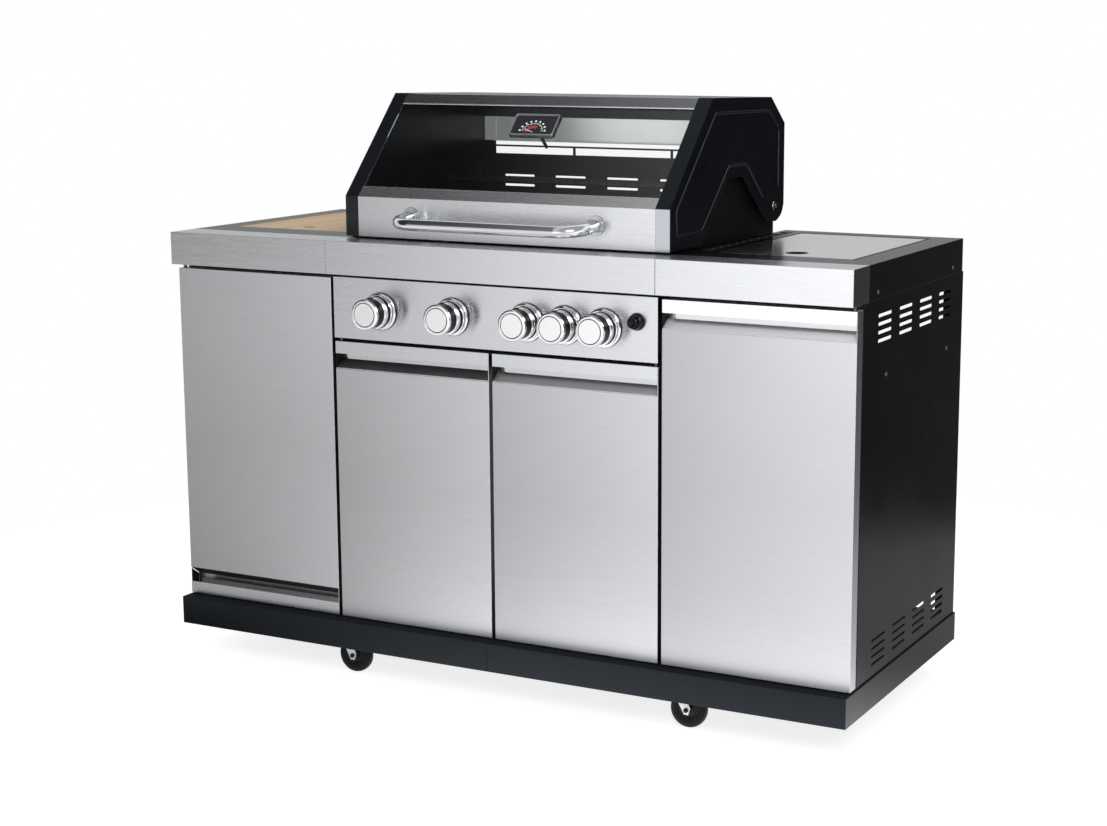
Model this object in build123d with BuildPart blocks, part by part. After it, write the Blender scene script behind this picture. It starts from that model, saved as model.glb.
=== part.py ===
from build123d import *

import os
from math import hypot

# Outdoor kitchen: three cabinets on a wheeled plinth, a gas grill with a glazed hood,
# a cutting board on the left and a side burner under a lid on the right.
# Millimetres, +Z up, the front faces -Y, the floor is z = 0.

# Overall sizes
TOP_WIDTH = 1510.0
TOP_HEIGHT = 909.0
PLINTH_DEPTH = 634.0
KNOB_OVERHANG = 34.0
PLINTH_STEP = 3.0
TOP_SETBACK = 5.0
TOP_REAR_STEP = 11.0
SEAM = 1.0

# Sheet thicknesses and clearances
STEEL = 1.5
INOX = 1.2
RUN = 0.05
SLIP = 0.3

# Plinth
PLINTH_HEIGHT = 58.0
CHANNEL_WIDTH = 60.0
CHANNEL_HEIGHT = 20.0

# Casters
CASTER_X = 385.0
CASTER_INSET = 65.0
CASTER_ROOM = 16.4
WHEEL_RADIUS = 37.5
WHEEL_WIDTH = 24.0
WHEEL_DISH_RADIUS = 24.0
WHEEL_DISH_DEPTH = 3.0
WHEEL_ROUND = 5.0
TRAIL = 29.0
AXLE_RADIUS = 4.0
AXLE_HEAD = 3.0
FORK_WALL = 3.0
FORK_SIDE_GAP = 1.0
FORK_DISC_RADIUS = 24.0
FORK_DISC_HEIGHT = 5.0
FORK_LEG_REACH = 9.0
KINGPIN_RADIUS = 5.0
KINGPIN_HEAD_RADIUS = 9.0
KINGPIN_HEAD_HEIGHT = 4.0
CASTER_PLATE = 64.0
CASTER_PLATE_HEIGHT = 4.0

# Cabinets
PARTITION_X = 365.0
PARTITION_WALL = 8.0
CABINET_BACK_STEP = 4.0
FRONT_FLANGE = 20.0
REAR_FLANGE = 40.0
RAIL_HEIGHT = 37.0
VENT_COLUMNS = 4
VENT_ROWS = 4
VENT_PITCH_Y = 115.0
VENT_PITCH_Z = 15.5
VENT_LENGTH = 72.0
VENT_HEIGHT = 6.5
VENT_TOP_GAP = 54.0
VENT_BASE_GAP = 48.0

# Doors
DOOR_SETBACK = 28.0
DOOR_DEPTH = 28.0
DOOR_GAP = 8.0
DOOR_BASE_GAP = 3.0
DOOR_TOP_GAP = 10.0
DOOR_BACK_GAP = 4.0
MIDDLE_DOOR_TOP_GAP = 7.5
PULL_STRIP = 25.0
PULL_LIP = 10.0
PULL_LIP_BACK = 4.0
PULL_NOTCH = 27.0
PULL_TAIL = 12.0
RECESS_HEIGHT = 56.0
RECESS_SLOPE = 18.0
RECESS_DEPTH = 25.0
PIVOT_INSET = 9.0
PIVOT_BACK = 10.0
PIN_RADIUS = 4.0
PIN_BITE = 5.0

# Worktop
FASCIA_HEIGHT = 67.0
FASCIA_DEPTH = 79.0
BOARD_WIDTH = 288.0
BOARD_REAR = 54.0
BOARD_HEIGHT = 20.0
BOARD_FRONT = 85.0
BOARD_ROOM = 1.5
BOARD_HOLE_RADIUS = 13.0
BOARD_HOLE_FRONT = 56.0
BOARD_ROUND = 3.0
LID_WIDTH = 268.0
LID_REAR = 54.0
LID_HEIGHT = 15.0
LID_FRONT = 77.0
LID_ROOM = 1.5
LID_REAR_ROOM = 5.0
LID_PIVOT_BACK = 7.0
LID_PIN_RADIUS = 3.0
LID_PIN_LENGTH = 6.0
LID_CUP_RADIUS = 21.0
LID_CUP_DEPTH = 11.0
LID_CUP_FRONT = 56.0
LEDGE_WIDTH = 13.0
LEDGE_REAR_GAP = 26.0
LEDGE_REAR_DROP = 10.0
BOWL_FLOOR = 4.5

# Side burner
RING_RADIUS = 42.0
RING_FOOT_RADIUS = 20.0
RING_FOOT_HEIGHT = 11.0
RING_HEIGHT = 14.0
RING_CAP_RADIUS = 34.0
RING_CAP_HEIGHT = 4.0
SUPPORT_REACH = 105.0
SUPPORT_BAR = 8.0
SUPPORT_HEIGHT = 42.0
SUPPORT_FINGER = 70.0

# Controls
PANEL_SETBACK = 26.0
PANEL_HEIGHT = 123.5
PANEL_TOP_GAP = 7.0
KNOB_PITCH = 167.0
KNOB_HEIGHT = 59.5
KNOB_FACE_RADIUS = 30.5
KNOB_FACE_LENGTH = 14.0
KNOB_NECK_RADIUS = 25.0
KNOB_NECK_LENGTH = 15.0
KNOB_SKIRT_RADIUS = 32.0
KNOB_CHAMFER = 3.0
BEZEL_RADIUS = 37.5
BEZEL_STEP_RADIUS = 34.5
BEZEL_HEIGHT = 15.0
BEZEL_STEP = 6.0
BEZEL_BORE = 12.0
STEM_RADIUS = 4.0
STEM_BITE = 20.0
VALVE_WIDTH = 24.0
VALVE_LENGTH = 34.0
MANIFOLD_RADIUS = 8.0
MANIFOLD_TAIL = 49.5
INLET_STEP = 59.5
INLET_RADIUS = 6.58
INLET_LENGTH = 20.0
INLET_DROP = 26.0
IGNITER_STEP = 69.5
IGNITER_RISE = 16.0
IGNITER_RADIUS = 10.0
IGNITER_LENGTH = 24.0
IGNITER_SHAFT_RADIUS = 6.0
IGNITER_SHAFT_LENGTH = 20.0
IGNITER_TRAVEL = 5.0
COLLAR_RADIUS = 16.5
COLLAR_NOSE_RADIUS = 13.0
COLLAR_HEIGHT = 10.0

# Firebox
FIREBOX_ROOM = 9.0
FIREBOX_FRONT = 89.0
FIREBOX_REAR = 29.0
FIREBOX_DROP = 139.0
FIREBOX_FRONT_RISE = 26.0
FIREBOX_SIDE_RISE = 16.0
FIREBOX_EAR_RISE = 83.0
FIREBOX_BACK_RISE = 162.0
HUMP_RISE = 138.0
HUMP_START = 66.0
HUMP_FRONT = 191.0
HUMP_REAR = 371.0
HUMP_END = 411.0
HANGER_HEIGHT = 2.0
LEDGE_GRATE = 12.0
GRATE_DROP = 14.0
DRAIN_WIDTH = 220.0
DRAIN_DEPTH = 160.0
SLOT_COLUMNS = 5
SLOT_PITCH = 127.5
SLOT_LENGTH = 75.0
SLOT_HEIGHT = 5.0
SLOT_RISES = (74.0, 95.0)
WINDOW_COUNT = 3
WINDOW_POST = 6.0
WINDOW_RISE = 143.0
WINDOW_HEIGHT = 15.0
BURNER_COUNT = 4
BURNER_RADIUS = 12.0
BURNER_DROP = 94.0
TAMER_WIDTH = 90.0
TAMER_DROP = 64.0
TAMER_RISE = 35.0
GRATE_HEIGHT = 10.0
GRATE_BAR = 6.0
GRATE_FRAME = 9.0
GRATE_BARS = 13
GRATE_GAP = 3.0
RACK_REAR = 34.0
RACK_DEPTH = 110.0
RACK_RISE = 99.0
RACK_HEIGHT = 50.0
RACK_WIRES = 7
RACK_WIRE_RADIUS = 2.5
TRAY_HALF = 140.0
TRAY_LIP = 16.0
TRAY_FRONT_GAP = 50.0
TRAY_REAR_GAP = 10.0
TRAY_HEIGHT = 24.0
RUNNER_DROP = 35.0

# Hood
HOOD_INSET = 2.0
HOOD_FRONT = 71.0
HOOD_GAP = 4.0
HOOD_BEND_RISE = 85.5
HOOD_RISE = 284.0
HOOD_SLOPE_RUN = 189.0
ROOF_DROP = 6.0
CHAMFER_RUN = 71.0
CHAMFER_DROP = 55.0
RIM_WIDTH = 29.0
RIM_REAR_RISE = 111.0
PIVOT_FORWARD = 50.5
PIVOT_RISE = 54.5
STUD_RADIUS = 5.0
STUD_BOSS_RADIUS = 9.0
STUD_HEAD_RADIUS = 8.0
STUD_HEAD = 3.2
EAR_RISE = 22.0
EAR_FRONT = 43.0
EAR_REAR = 12.0
EAR_CHEEK = 40.0
EAR_CHEEK_DROP = 20.0
EAR_NECK_RISE = 1.0
EAR_ROUND = 24.0
NOTCH_RISE = 125.0
NOTCH_FOOT = 140.0
NOTCH_FRONT = 258.0
NOTCH_REAR = 72.0
NOTCH_BEND = 8.0
NOTCH_BEND_DROP = 4.0
NOTCH_ROUND = 12.0
GLAZING_RECESS = 1.5
STRIP_WIDTH = 26.5
BAR_WIDTH = 28.0
BAR_TOP = 40.0
GLASS = 4.0
GLASS_OVERLAP = 9.0
HEM = 12.0
BACK_RISE = 169.0
HANDLE_X = 208.0
HANDLE_RISE = 44.0
HANDLE_DROOP = 7.6
HANDLE_REACH = 76.0
HANDLE_RADIUS = 11.5
HANDLE_BEND = 46.0
ROSETTE_RADIUS = 18.0
ROSETTE_HEIGHT = 6.0
GAUGE_X = 4.5
GAUGE_UP = 191.0
GAUGE_WIDTH = 101.0
GAUGE_HEIGHT = 55.0
GAUGE_DEPTH = 12.0
GAUGE_ROUND = 3.0
GAUGE_STEM_RADIUS = 4.0
GAUGE_STEM = 62.0

# Places worked out from the sizes above
half_width = TOP_WIDTH / 2
head_low = 2 * WHEEL_RADIUS + CASTER_ROOM
head_high = head_low + KINGPIN_HEAD_HEIGHT
disc_low = head_high + SLIP
disc_high = disc_low + FORK_DISC_HEIGHT
plate_low = disc_high + SLIP
channel_low = plate_low + CASTER_PLATE_HEIGHT
plinth_high = channel_low + CHANNEL_HEIGHT + STEEL
plinth_low = plinth_high - PLINTH_HEIGHT
plinth_front = KNOB_OVERHANG - (PLINTH_DEPTH + KNOB_OVERHANG) / 2
plinth_back = plinth_front + PLINTH_DEPTH
plinth_half = half_width + PLINTH_STEP
top_front = plinth_front + TOP_SETBACK
top_back = plinth_back - TOP_REAR_STEP
fascia_low = TOP_HEIGHT - FASCIA_HEIGHT
fascia_back = top_front + FASCIA_DEPTH
door_front = plinth_front + DOOR_SETBACK
door_back = door_front + DOOR_DEPTH
cabinet_front = door_back + DOOR_BACK_GAP
cabinet_back = plinth_back - CABINET_BACK_STEP
panel_front = plinth_front + PANEL_SETBACK
panel_high = fascia_low - PANEL_TOP_GAP
panel_low = panel_high - PANEL_HEIGHT
knob_face = plinth_front - KNOB_OVERHANG
knob_z = panel_low + KNOB_HEIGHT
seam_x = PARTITION_X + PARTITION_WALL / 4
partition_in = PARTITION_X - PARTITION_WALL / 2
partition_out = PARTITION_X + PARTITION_WALL / 2
firebox_half = partition_in - FIREBOX_ROOM
firebox_front = top_front + FIREBOX_FRONT
firebox_back = top_back - FIREBOX_REAR
firebox_floor = TOP_HEIGHT - FIREBOX_DROP
grate_seat = TOP_HEIGHT - GRATE_DROP
hood_half = PARTITION_X - HOOD_INSET
hood_front = top_front + HOOD_FRONT
hood_back = top_back
hood_low = TOP_HEIGHT + HOOD_GAP
hood_bend = TOP_HEIGHT + HOOD_BEND_RISE
hood_high = TOP_HEIGHT + HOOD_RISE
pivot_y = hood_back - PIVOT_FORWARD
pivot_z = TOP_HEIGHT + PIVOT_RISE
sides = {"left": -1, "right": 1}


def block(low, high, mode=Mode.ADD):
    """Add the box between two opposite corners to the part that is being built."""
    middle = tuple((a + b) / 2 for a, b in zip(low, high))
    with Locations(middle):
        Box(*(abs(b - a) for a, b in zip(low, high)), mode=mode)


def plate(plane, points, depth, mode=Mode.ADD):
    """Add the polygon of points on plane, as thick as depth along the plane's normal."""
    with BuildSketch(plane) as outline:
        with BuildLine():
            Polyline(*points, close=True)
        make_face()
    extrude(outline.sketch, amount=depth, mode=mode)


def folded(points, wall):
    """Closed outline of a sheet bent along points, with its wall to the left of their way."""
    ways = []
    for (u0, v0), (u1, v1) in zip(points, points[1:]):
        length = hypot(u1 - u0, v1 - v0)
        ways.append(((v0 - v1) / length, (u1 - u0) / length))
    inner = []
    for place, before, after in zip(points, ways[:1] + ways, ways + ways[-1:]):
        reach = wall / (1 + before[0] * after[0] + before[1] * after[1])
        inner.append((place[0] + reach * (before[0] + after[0]), place[1] + reach * (before[1] + after[1])))
    return [*points, *reversed(inner)]


def turned(points, plane, mode=Mode.ADD):
    """Add the solid that points, as radius and height, sweep out about the plane's own Y axis."""
    with BuildSketch(plane) as outline:
        with BuildLine():
            Polyline(*points, close=True)
        make_face()
    revolve(outline.sketch, axis=Axis(plane.origin, plane.y_dir), mode=mode)


def corners_at(outline, places):
    """Corners of a sketch that stand at the given places."""
    chosen = []
    for corner in outline.vertices():
        if min(hypot(corner.X - u, corner.Y - v) for u, v in places) < SLIP:
            chosen.append(corner)
    return chosen


def across(x):
    """Plane at x whose sketch axes are Y and Z."""
    return Plane.YZ.offset(x)


def facing(x, z):
    """Plane through (x, z) whose sketch axes are X and Y, for parts turned about a Y axis."""
    return Plane(origin=(x, 0, z), x_dir=(1, 0, 0), z_dir=(0, 0, 1))


def upright(x, y):
    """Plane through (x, y) whose sketch axes are X and Z, for parts turned about a Z axis."""
    return Plane(origin=(x, y, 0), x_dir=(1, 0, 0), z_dir=(0, -1, 0))


def write(piece, name):
    """Label a finished piece and write its STEP file."""
    piece.part.label = name
    export_step(piece.part, f"parts/{name}.step")


os.makedirs("parts", exist_ok=True)

# Plinth: two black trays, open below, each with a channel that carries two casters
for name, side in sides.items():
    with BuildPart() as plinth:
        block((side * SEAM / 2, plinth_front, plinth_low), (side * plinth_half, plinth_back, plinth_high))
        block(
            (side * (SEAM / 2 + STEEL), plinth_front + STEEL, plinth_low),
            (side * (plinth_half - STEEL), plinth_back - STEEL, plinth_high - STEEL),
            Mode.SUBTRACT,
        )
        channel = (side * (CASTER_X - CHANNEL_WIDTH / 2), side * (CASTER_X + CHANNEL_WIDTH / 2))
        block(
            (channel[0], plinth_front + STEEL, channel_low),
            (channel[1], plinth_back - STEEL, plinth_high - STEEL),
        )
        block(
            (channel[0] + side * STEEL, plinth_front + STEEL, channel_low + STEEL),
            (channel[1] - side * STEEL, plinth_back - STEEL, plinth_high - STEEL),
            Mode.SUBTRACT,
        )
    write(plinth, f"plinth_{name}")

# Casters: a fixed plate with a kingpin, a fork that swivels on it, and a wheel on the fork's axle
caster_places = {
    "front_left": (-CASTER_X, plinth_front + CASTER_INSET),
    "front_right": (CASTER_X, plinth_front + CASTER_INSET),
    "rear_left": (-CASTER_X, plinth_back - CASTER_INSET),
    "rear_right": (CASTER_X, plinth_back - CASTER_INSET),
}
with BuildPart() as caster_plates:
    for x, y in caster_places.values():
        half = CASTER_PLATE / 2
        block((x - half, y - half, plate_low), (x + half, y + half, channel_low))
        pin = [
            (0, plate_low),
            (KINGPIN_RADIUS, plate_low),
            (KINGPIN_RADIUS, head_high),
            (KINGPIN_HEAD_RADIUS, head_high),
            (KINGPIN_HEAD_RADIUS, head_low),
            (0, head_low),
        ]
        turned(pin, upright(x, y))
write(caster_plates, "caster_plates")

leg_in = WHEEL_WIDTH / 2 + FORK_SIDE_GAP
leg_out = leg_in + FORK_WALL
for name, (x, y) in caster_places.items():
    with BuildPart() as fork:
        with Locations((x, y, (disc_low + disc_high) / 2)):
            Cylinder(FORK_DISC_RADIUS, FORK_DISC_HEIGHT)
            Cylinder(KINGPIN_RADIUS + RUN, FORK_DISC_HEIGHT, mode=Mode.SUBTRACT)
        for inner in (leg_in, -leg_out):
            leg = [
                (x - FORK_DISC_RADIUS / 2, disc_low),
                (x + FORK_DISC_RADIUS / 2, disc_low),
                (x + TRAIL + FORK_LEG_REACH, WHEEL_RADIUS + FORK_LEG_REACH / 2),
                (x + TRAIL + FORK_LEG_REACH / 2, WHEEL_RADIUS - FORK_LEG_REACH),
                (x + TRAIL - FORK_LEG_REACH / 2, WHEEL_RADIUS - FORK_LEG_REACH),
                (x + TRAIL - FORK_LEG_REACH, WHEEL_RADIUS),
            ]
            plate(Plane.XZ.offset(-(y + inner)), leg, -FORK_WALL)
        axle = [(0, -1), (AXLE_RADIUS, -1), (AXLE_RADIUS, 1), (0, 1)]
        turned([(r, y + way * (leg_out + AXLE_HEAD)) for r, way in axle], facing(x + TRAIL, WHEEL_RADIUS))
    write(fork, f"caster_fork_{name}")

    with BuildPart() as wheel:
        rim = WHEEL_WIDTH / 2
        half_section = [
            (WHEEL_RADIUS, rim - WHEEL_ROUND),
            (WHEEL_RADIUS - WHEEL_ROUND / 4, rim - WHEEL_ROUND / 4),
            (WHEEL_RADIUS - WHEEL_ROUND, rim),
            (WHEEL_DISH_RADIUS, rim),
            (WHEEL_DISH_RADIUS, rim - WHEEL_DISH_DEPTH),
            (AXLE_RADIUS * 2, rim - WHEEL_DISH_DEPTH),
            (AXLE_RADIUS * 2, rim),
            (AXLE_RADIUS + RUN, rim),
        ]
        section = half_section + [(r, -w) for r, w in reversed(half_section)]
        turned([(r, y + w) for r, w in section], facing(x + TRAIL, WHEEL_RADIUS))
    write(wheel, f"caster_wheel_{name}")

# Cabinet sides: black sheets with flanges at the front and the back, and two groups of vents
vent_high = fascia_low - VENT_TOP_GAP
vent_low = plinth_high + VENT_BASE_GAP
for name, side in sides.items():
    outer = side * half_width
    inner = side * (half_width - STEEL)
    with BuildPart() as side_panel:
        block((inner, cabinet_front, plinth_high), (outer, cabinet_back, fascia_low))
        block(
            (outer, cabinet_front, plinth_high),
            (outer - side * FRONT_FLANGE, cabinet_front + STEEL, fascia_low),
        )
        block(
            (outer, cabinet_back - STEEL, plinth_high),
            (outer - side * REAR_FLANGE, cabinet_back, fascia_low),
        )
        for height in (vent_high, vent_low):
            with BuildSketch(Plane.YZ.offset(side * half_width)):
                with Locations(((cabinet_front + cabinet_back) / 2, height)):
                    with GridLocations(VENT_PITCH_Y, VENT_PITCH_Z, VENT_COLUMNS, VENT_ROWS):
                        SlotOverall(VENT_LENGTH, VENT_HEIGHT)
            extrude(amount=STEEL * 2, both=True, mode=Mode.SUBTRACT)
    write(side_panel, f"side_panel_{name}")

    # Hollow partition between two cabinets, with flanges that carry the panel and stop the doors
    with BuildPart() as partition:
        block(
            (side * partition_in, cabinet_front, plinth_high),
            (side * partition_out, cabinet_back, fascia_low),
        )
        block(
            (side * (partition_in - FRONT_FLANGE), cabinet_front, plinth_high),
            (side * (partition_out + FRONT_FLANGE), cabinet_front + STEEL, fascia_low),
        )
        block(
            (side * (partition_in + STEEL), cabinet_front + STEEL, plinth_high),
            (side * (partition_out - STEEL), cabinet_back - STEEL, fascia_low),
            Mode.SUBTRACT,
        )
    write(partition, f"partition_{name}")

# Rails across the open back of each cabinet, and behind the doors' top edges
with BuildPart() as cross_rails:
    rear_spans = (
        (-half_width + REAR_FLANGE, -partition_out),
        (-partition_in, partition_in),
        (partition_out, half_width - REAR_FLANGE),
    )
    for start, end in rear_spans:
        block((start, cabinet_back - STEEL, fascia_low - RAIL_HEIGHT), (end, cabinet_back, fascia_low))
    bay_reach = half_width - FRONT_FLANGE
    bay_start = partition_out + FRONT_FLANGE
    middle_reach = partition_in - FRONT_FLANGE
    front_spans = (
        (-bay_reach, -bay_start, fascia_low),
        (-middle_reach, middle_reach, panel_low),
        (bay_start, bay_reach, fascia_low),
    )
    for start, end, top in front_spans:
        block((start, cabinet_front, top - RAIL_HEIGHT), (end, cabinet_front + STEEL, top))
write(cross_rails, "cross_rails")

# Doors: sheet pans with a finger recess, and a grip strip folded over the recess
door_low = plinth_high + DOOR_BASE_GAP
door_high = fascia_low - DOOR_TOP_GAP
middle_door_high = panel_low - MIDDLE_DOOR_TOP_GAP
door_seam = seam_x + DOOR_GAP / 2
pivot_line = door_front + PIVOT_BACK
# Each door: its two sides, its top, the side that its pins are on, and the end that its grip is at
doors = {
    "left": (-half_width, -door_seam, door_high, -1, "base"),
    "centre_left": (-door_seam + DOOR_GAP, -DOOR_GAP / 2, middle_door_high, -1, "top"),
    "centre_right": (DOOR_GAP / 2, door_seam - DOOR_GAP, middle_door_high, 1, "top"),
    "right": (door_seam, half_width, door_high, 1, "top"),
}
for name, (x0, x1, high, hinge, grip) in doors.items():
    pivot_x = x1 - PIVOT_INSET if hinge > 0 else x0 + PIVOT_INSET
    # Heights are counted from the end that has the grip
    end, way = (high, -1) if grip == "top" else (door_low, 1)
    far = door_low if grip == "top" else high
    recess_wall = door_front + RECESS_DEPTH
    skin = [
        (door_back, far),
        (door_front, far),
        (door_front, end + way * RECESS_HEIGHT),
        (recess_wall, end + way * (RECESS_HEIGHT - RECESS_SLOPE)),
        (recess_wall, end),
        (door_back, end),
    ]
    full_cheek = [(door_back, far), (door_front, far), (door_front, end), (door_back, end)]
    with BuildPart() as door:
        plate(across(x0), folded(skin, way * INOX), x1 - x0)
        plate(across(x0), skin, INOX)
        plate(across(x1 - INOX), full_cheek, INOX)
        with Locations((pivot_x, pivot_line, far)):
            Cylinder(PIN_RADIUS + RUN, INOX * 4, mode=Mode.SUBTRACT)
    write(door, f"door_{name}")

    strip = [
        (recess_wall, end + way * PULL_TAIL),
        (recess_wall, end),
        (door_front, end),
        (door_front, end + way * PULL_STRIP),
        (door_front + PULL_LIP_BACK, end + way * (PULL_STRIP + PULL_LIP)),
    ]
    with BuildPart() as pull:
        plate(across(x0), folded(strip, -way * INOX), x1 - x0 - INOX - SLIP)
        block(
            (x0, door_front, end + way * PULL_STRIP),
            (x0 + PULL_NOTCH, recess_wall, end + way * (PULL_STRIP + PULL_LIP)),
            Mode.SUBTRACT,
        )
        with Locations((pivot_x, pivot_line, end)):
            Cylinder(PIN_RADIUS + RUN, INOX * 4, mode=Mode.SUBTRACT)
    write(pull, f"pull_{name}")

# Door pins, two to a door, standing on the plinth and hanging from the fascia or the control panel
with BuildPart() as door_pins:
    for x0, x1, high, hinge, grip in doors.values():
        pivot_x = x1 - PIVOT_INSET if hinge > 0 else x0 + PIVOT_INSET
        seat = fascia_low if high == door_high else panel_low
        for low, top in ((plinth_high, door_low + PIN_BITE), (high - PIN_BITE, seat)):
            with Locations((pivot_x, pivot_line, (low + top) / 2)):
                Cylinder(PIN_RADIUS, top - low)
write(door_pins, "door_pins")

# Fascia: three folded stainless strips along the front of the worktop
fascia_section = [
    (fascia_back, TOP_HEIGHT),
    (top_front, TOP_HEIGHT),
    (top_front, fascia_low),
    (fascia_back, fascia_low),
]
fascia_spans = {
    "left": (-half_width, -seam_x - SEAM / 2),
    "centre": (-seam_x + SEAM / 2, seam_x - SEAM / 2),
    "right": (seam_x + SEAM / 2, half_width),
}
for name, (x0, x1) in fascia_spans.items():
    with BuildPart() as fascia:
        plate(across(x0), folded(fascia_section, INOX), x1 - x0)
        if name == "left":
            plate(across(x0), fascia_section, INOX)
        if name == "right":
            plate(across(x1 - INOX), fascia_section, INOX)
    write(fascia, f"fascia_{name}")

# Worktop, left: a stainless box, open below, with a tray pressed in for the cutting board
bay_in = seam_x + SEAM / 2
bay_out = half_width - STEEL
bay_middle = (bay_in + bay_out) / 2
board_front = fascia_back + BOARD_FRONT
board_back = top_back - BOARD_REAR
board_low = TOP_HEIGHT - BOARD_HEIGHT
board_hole_y = board_front + BOARD_HOLE_FRONT
tray_floor = board_low - SLIP
tray_reach = BOARD_WIDTH / 2 + BOARD_ROOM


def worktop_box(side):
    """Add one side's worktop: top sheet and skirts, with nothing below."""
    block((side * bay_in, fascia_back, fascia_low), (side * bay_out, top_back, TOP_HEIGHT))
    block(
        (side * (bay_in + INOX), fascia_back + INOX, fascia_low),
        (side * (bay_out - INOX), top_back - INOX, TOP_HEIGHT - INOX),
        Mode.SUBTRACT,
    )


with BuildPart() as worktop_left:
    worktop_box(-1)
    block(
        (-bay_middle - tray_reach - INOX, board_front - BOARD_ROOM - INOX, tray_floor - INOX),
        (-bay_middle + tray_reach + INOX, board_back + BOARD_ROOM + INOX, TOP_HEIGHT),
    )
    block(
        (-bay_middle - tray_reach, board_front - BOARD_ROOM, tray_floor),
        (-bay_middle + tray_reach, board_back + BOARD_ROOM, TOP_HEIGHT),
        Mode.SUBTRACT,
    )
write(worktop_left, "worktop_left")

with BuildPart() as cutting_board:
    block(
        (-bay_middle - BOARD_WIDTH / 2, board_front, board_low),
        (-bay_middle + BOARD_WIDTH / 2, board_back, TOP_HEIGHT),
    )
    fillet(cutting_board.edges().filter_by(Axis.Z), BOARD_ROUND)
    with Locations((-bay_middle, board_hole_y, (board_low + TOP_HEIGHT) / 2)):
        Cylinder(BOARD_HOLE_RADIUS, BOARD_HEIGHT * 2, mode=Mode.SUBTRACT)
write(cutting_board, "cutting_board")

# Worktop, right: the same box, with a ledge for the lid and a bowl for the side burner
lid_front = fascia_back + LID_FRONT
lid_back = top_back - LID_REAR
lid_low = TOP_HEIGHT - LID_HEIGHT
lid_x0 = bay_middle - LID_WIDTH / 2
lid_x1 = bay_middle + LID_WIDTH / 2
well_x0 = lid_x0 - LID_ROOM
well_x1 = lid_x1 + LID_ROOM
well_front = lid_front - LID_ROOM
well_back = lid_back + LID_REAR_ROOM
ledge_high = lid_low - SLIP
ledge_back = well_back - LEDGE_REAR_GAP
bowl_floor = fascia_low + BOWL_FLOOR
bowl_x0 = well_x0 + LEDGE_WIDTH
bowl_x1 = well_x1 - LEDGE_WIDTH
bowl_front = well_front + LEDGE_WIDTH
lid_pivot_y = lid_back - LID_PIVOT_BACK
lid_pivot_z = lid_low + LID_HEIGHT / 2
with BuildPart() as worktop_right:
    worktop_box(1)
    block(
        (well_x0 - INOX, well_front - INOX, bowl_floor - INOX),
        (well_x1 + INOX, well_back + INOX, TOP_HEIGHT),
    )
    block((well_x0, well_front, ledge_high), (well_x1, well_back, TOP_HEIGHT), Mode.SUBTRACT)
    block((bowl_x0, bowl_front, bowl_floor), (bowl_x1, well_back, ledge_high), Mode.SUBTRACT)
    block(
        (well_x0, ledge_back, ledge_high - LEDGE_REAR_DROP),
        (well_x1, well_back, ledge_high),
        Mode.SUBTRACT,
    )
    # The metal under the ledge is cut back to one sheet
    under = bowl_floor - INOX
    shelf = ledge_high - INOX
    for x0, x1 in ((well_x0 - INOX, bowl_x0 - INOX), (bowl_x1 + INOX, well_x1 + INOX)):
        block((x0, well_front - INOX, under), (x1, ledge_back - INOX, shelf), Mode.SUBTRACT)
    block(
        (well_x0 - INOX, well_front - INOX, under),
        (well_x1 + INOX, bowl_front - INOX, shelf),
        Mode.SUBTRACT,
    )
    with Locations(Plane(origin=(bay_middle, lid_pivot_y, lid_pivot_z), z_dir=(1, 0, 0))):
        Cylinder(LID_PIN_RADIUS + RUN, LID_WIDTH + 8 * LID_PIN_LENGTH, mode=Mode.SUBTRACT)
write(worktop_right, "worktop_right")

# Side burner lid: a sheet pan with a finger cup and two pivot pins at the back
cup_y = lid_front + LID_CUP_FRONT
with BuildPart() as burner_lid:
    block((lid_x0, lid_front, lid_low), (lid_x1, lid_back, TOP_HEIGHT))
    block(
        (lid_x0 + INOX, lid_front + INOX, lid_low),
        (lid_x1 - INOX, lid_back - INOX, TOP_HEIGHT - INOX),
        Mode.SUBTRACT,
    )
    cup = [
        (0, TOP_HEIGHT - LID_CUP_DEPTH - INOX),
        (LID_CUP_RADIUS + INOX, TOP_HEIGHT - LID_CUP_DEPTH - INOX),
        (LID_CUP_RADIUS + INOX, TOP_HEIGHT - INOX),
        (0, TOP_HEIGHT - INOX),
    ]
    turned(cup, upright(bay_middle, cup_y))
    with Locations((bay_middle, cup_y, TOP_HEIGHT)):
        Cylinder(LID_CUP_RADIUS, LID_CUP_DEPTH * 2, mode=Mode.SUBTRACT)
    for x in (lid_x0 - LID_PIN_LENGTH / 2, lid_x1 + LID_PIN_LENGTH / 2):
        with Locations(Plane(origin=(x, lid_pivot_y, lid_pivot_z), z_dir=(1, 0, 0))):
            Cylinder(LID_PIN_RADIUS, LID_PIN_LENGTH)
write(burner_lid, "burner_lid")

# Side burner and the cross that carries a pan over it
burner_y = (bowl_front + well_back) / 2
foot_high = bowl_floor + RING_FOOT_HEIGHT
ring_high = foot_high + RING_HEIGHT
with BuildPart() as side_burner:
    profile = [
        (0, bowl_floor),
        (RING_FOOT_RADIUS, bowl_floor),
        (RING_FOOT_RADIUS, foot_high),
        (RING_RADIUS, foot_high),
        (RING_RADIUS, ring_high),
        (RING_CAP_RADIUS, ring_high),
        (RING_CAP_RADIUS, ring_high + RING_CAP_HEIGHT),
        (0, ring_high + RING_CAP_HEIGHT),
    ]
    turned(profile, upright(bay_middle, burner_y))
write(side_burner, "side_burner")

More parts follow.
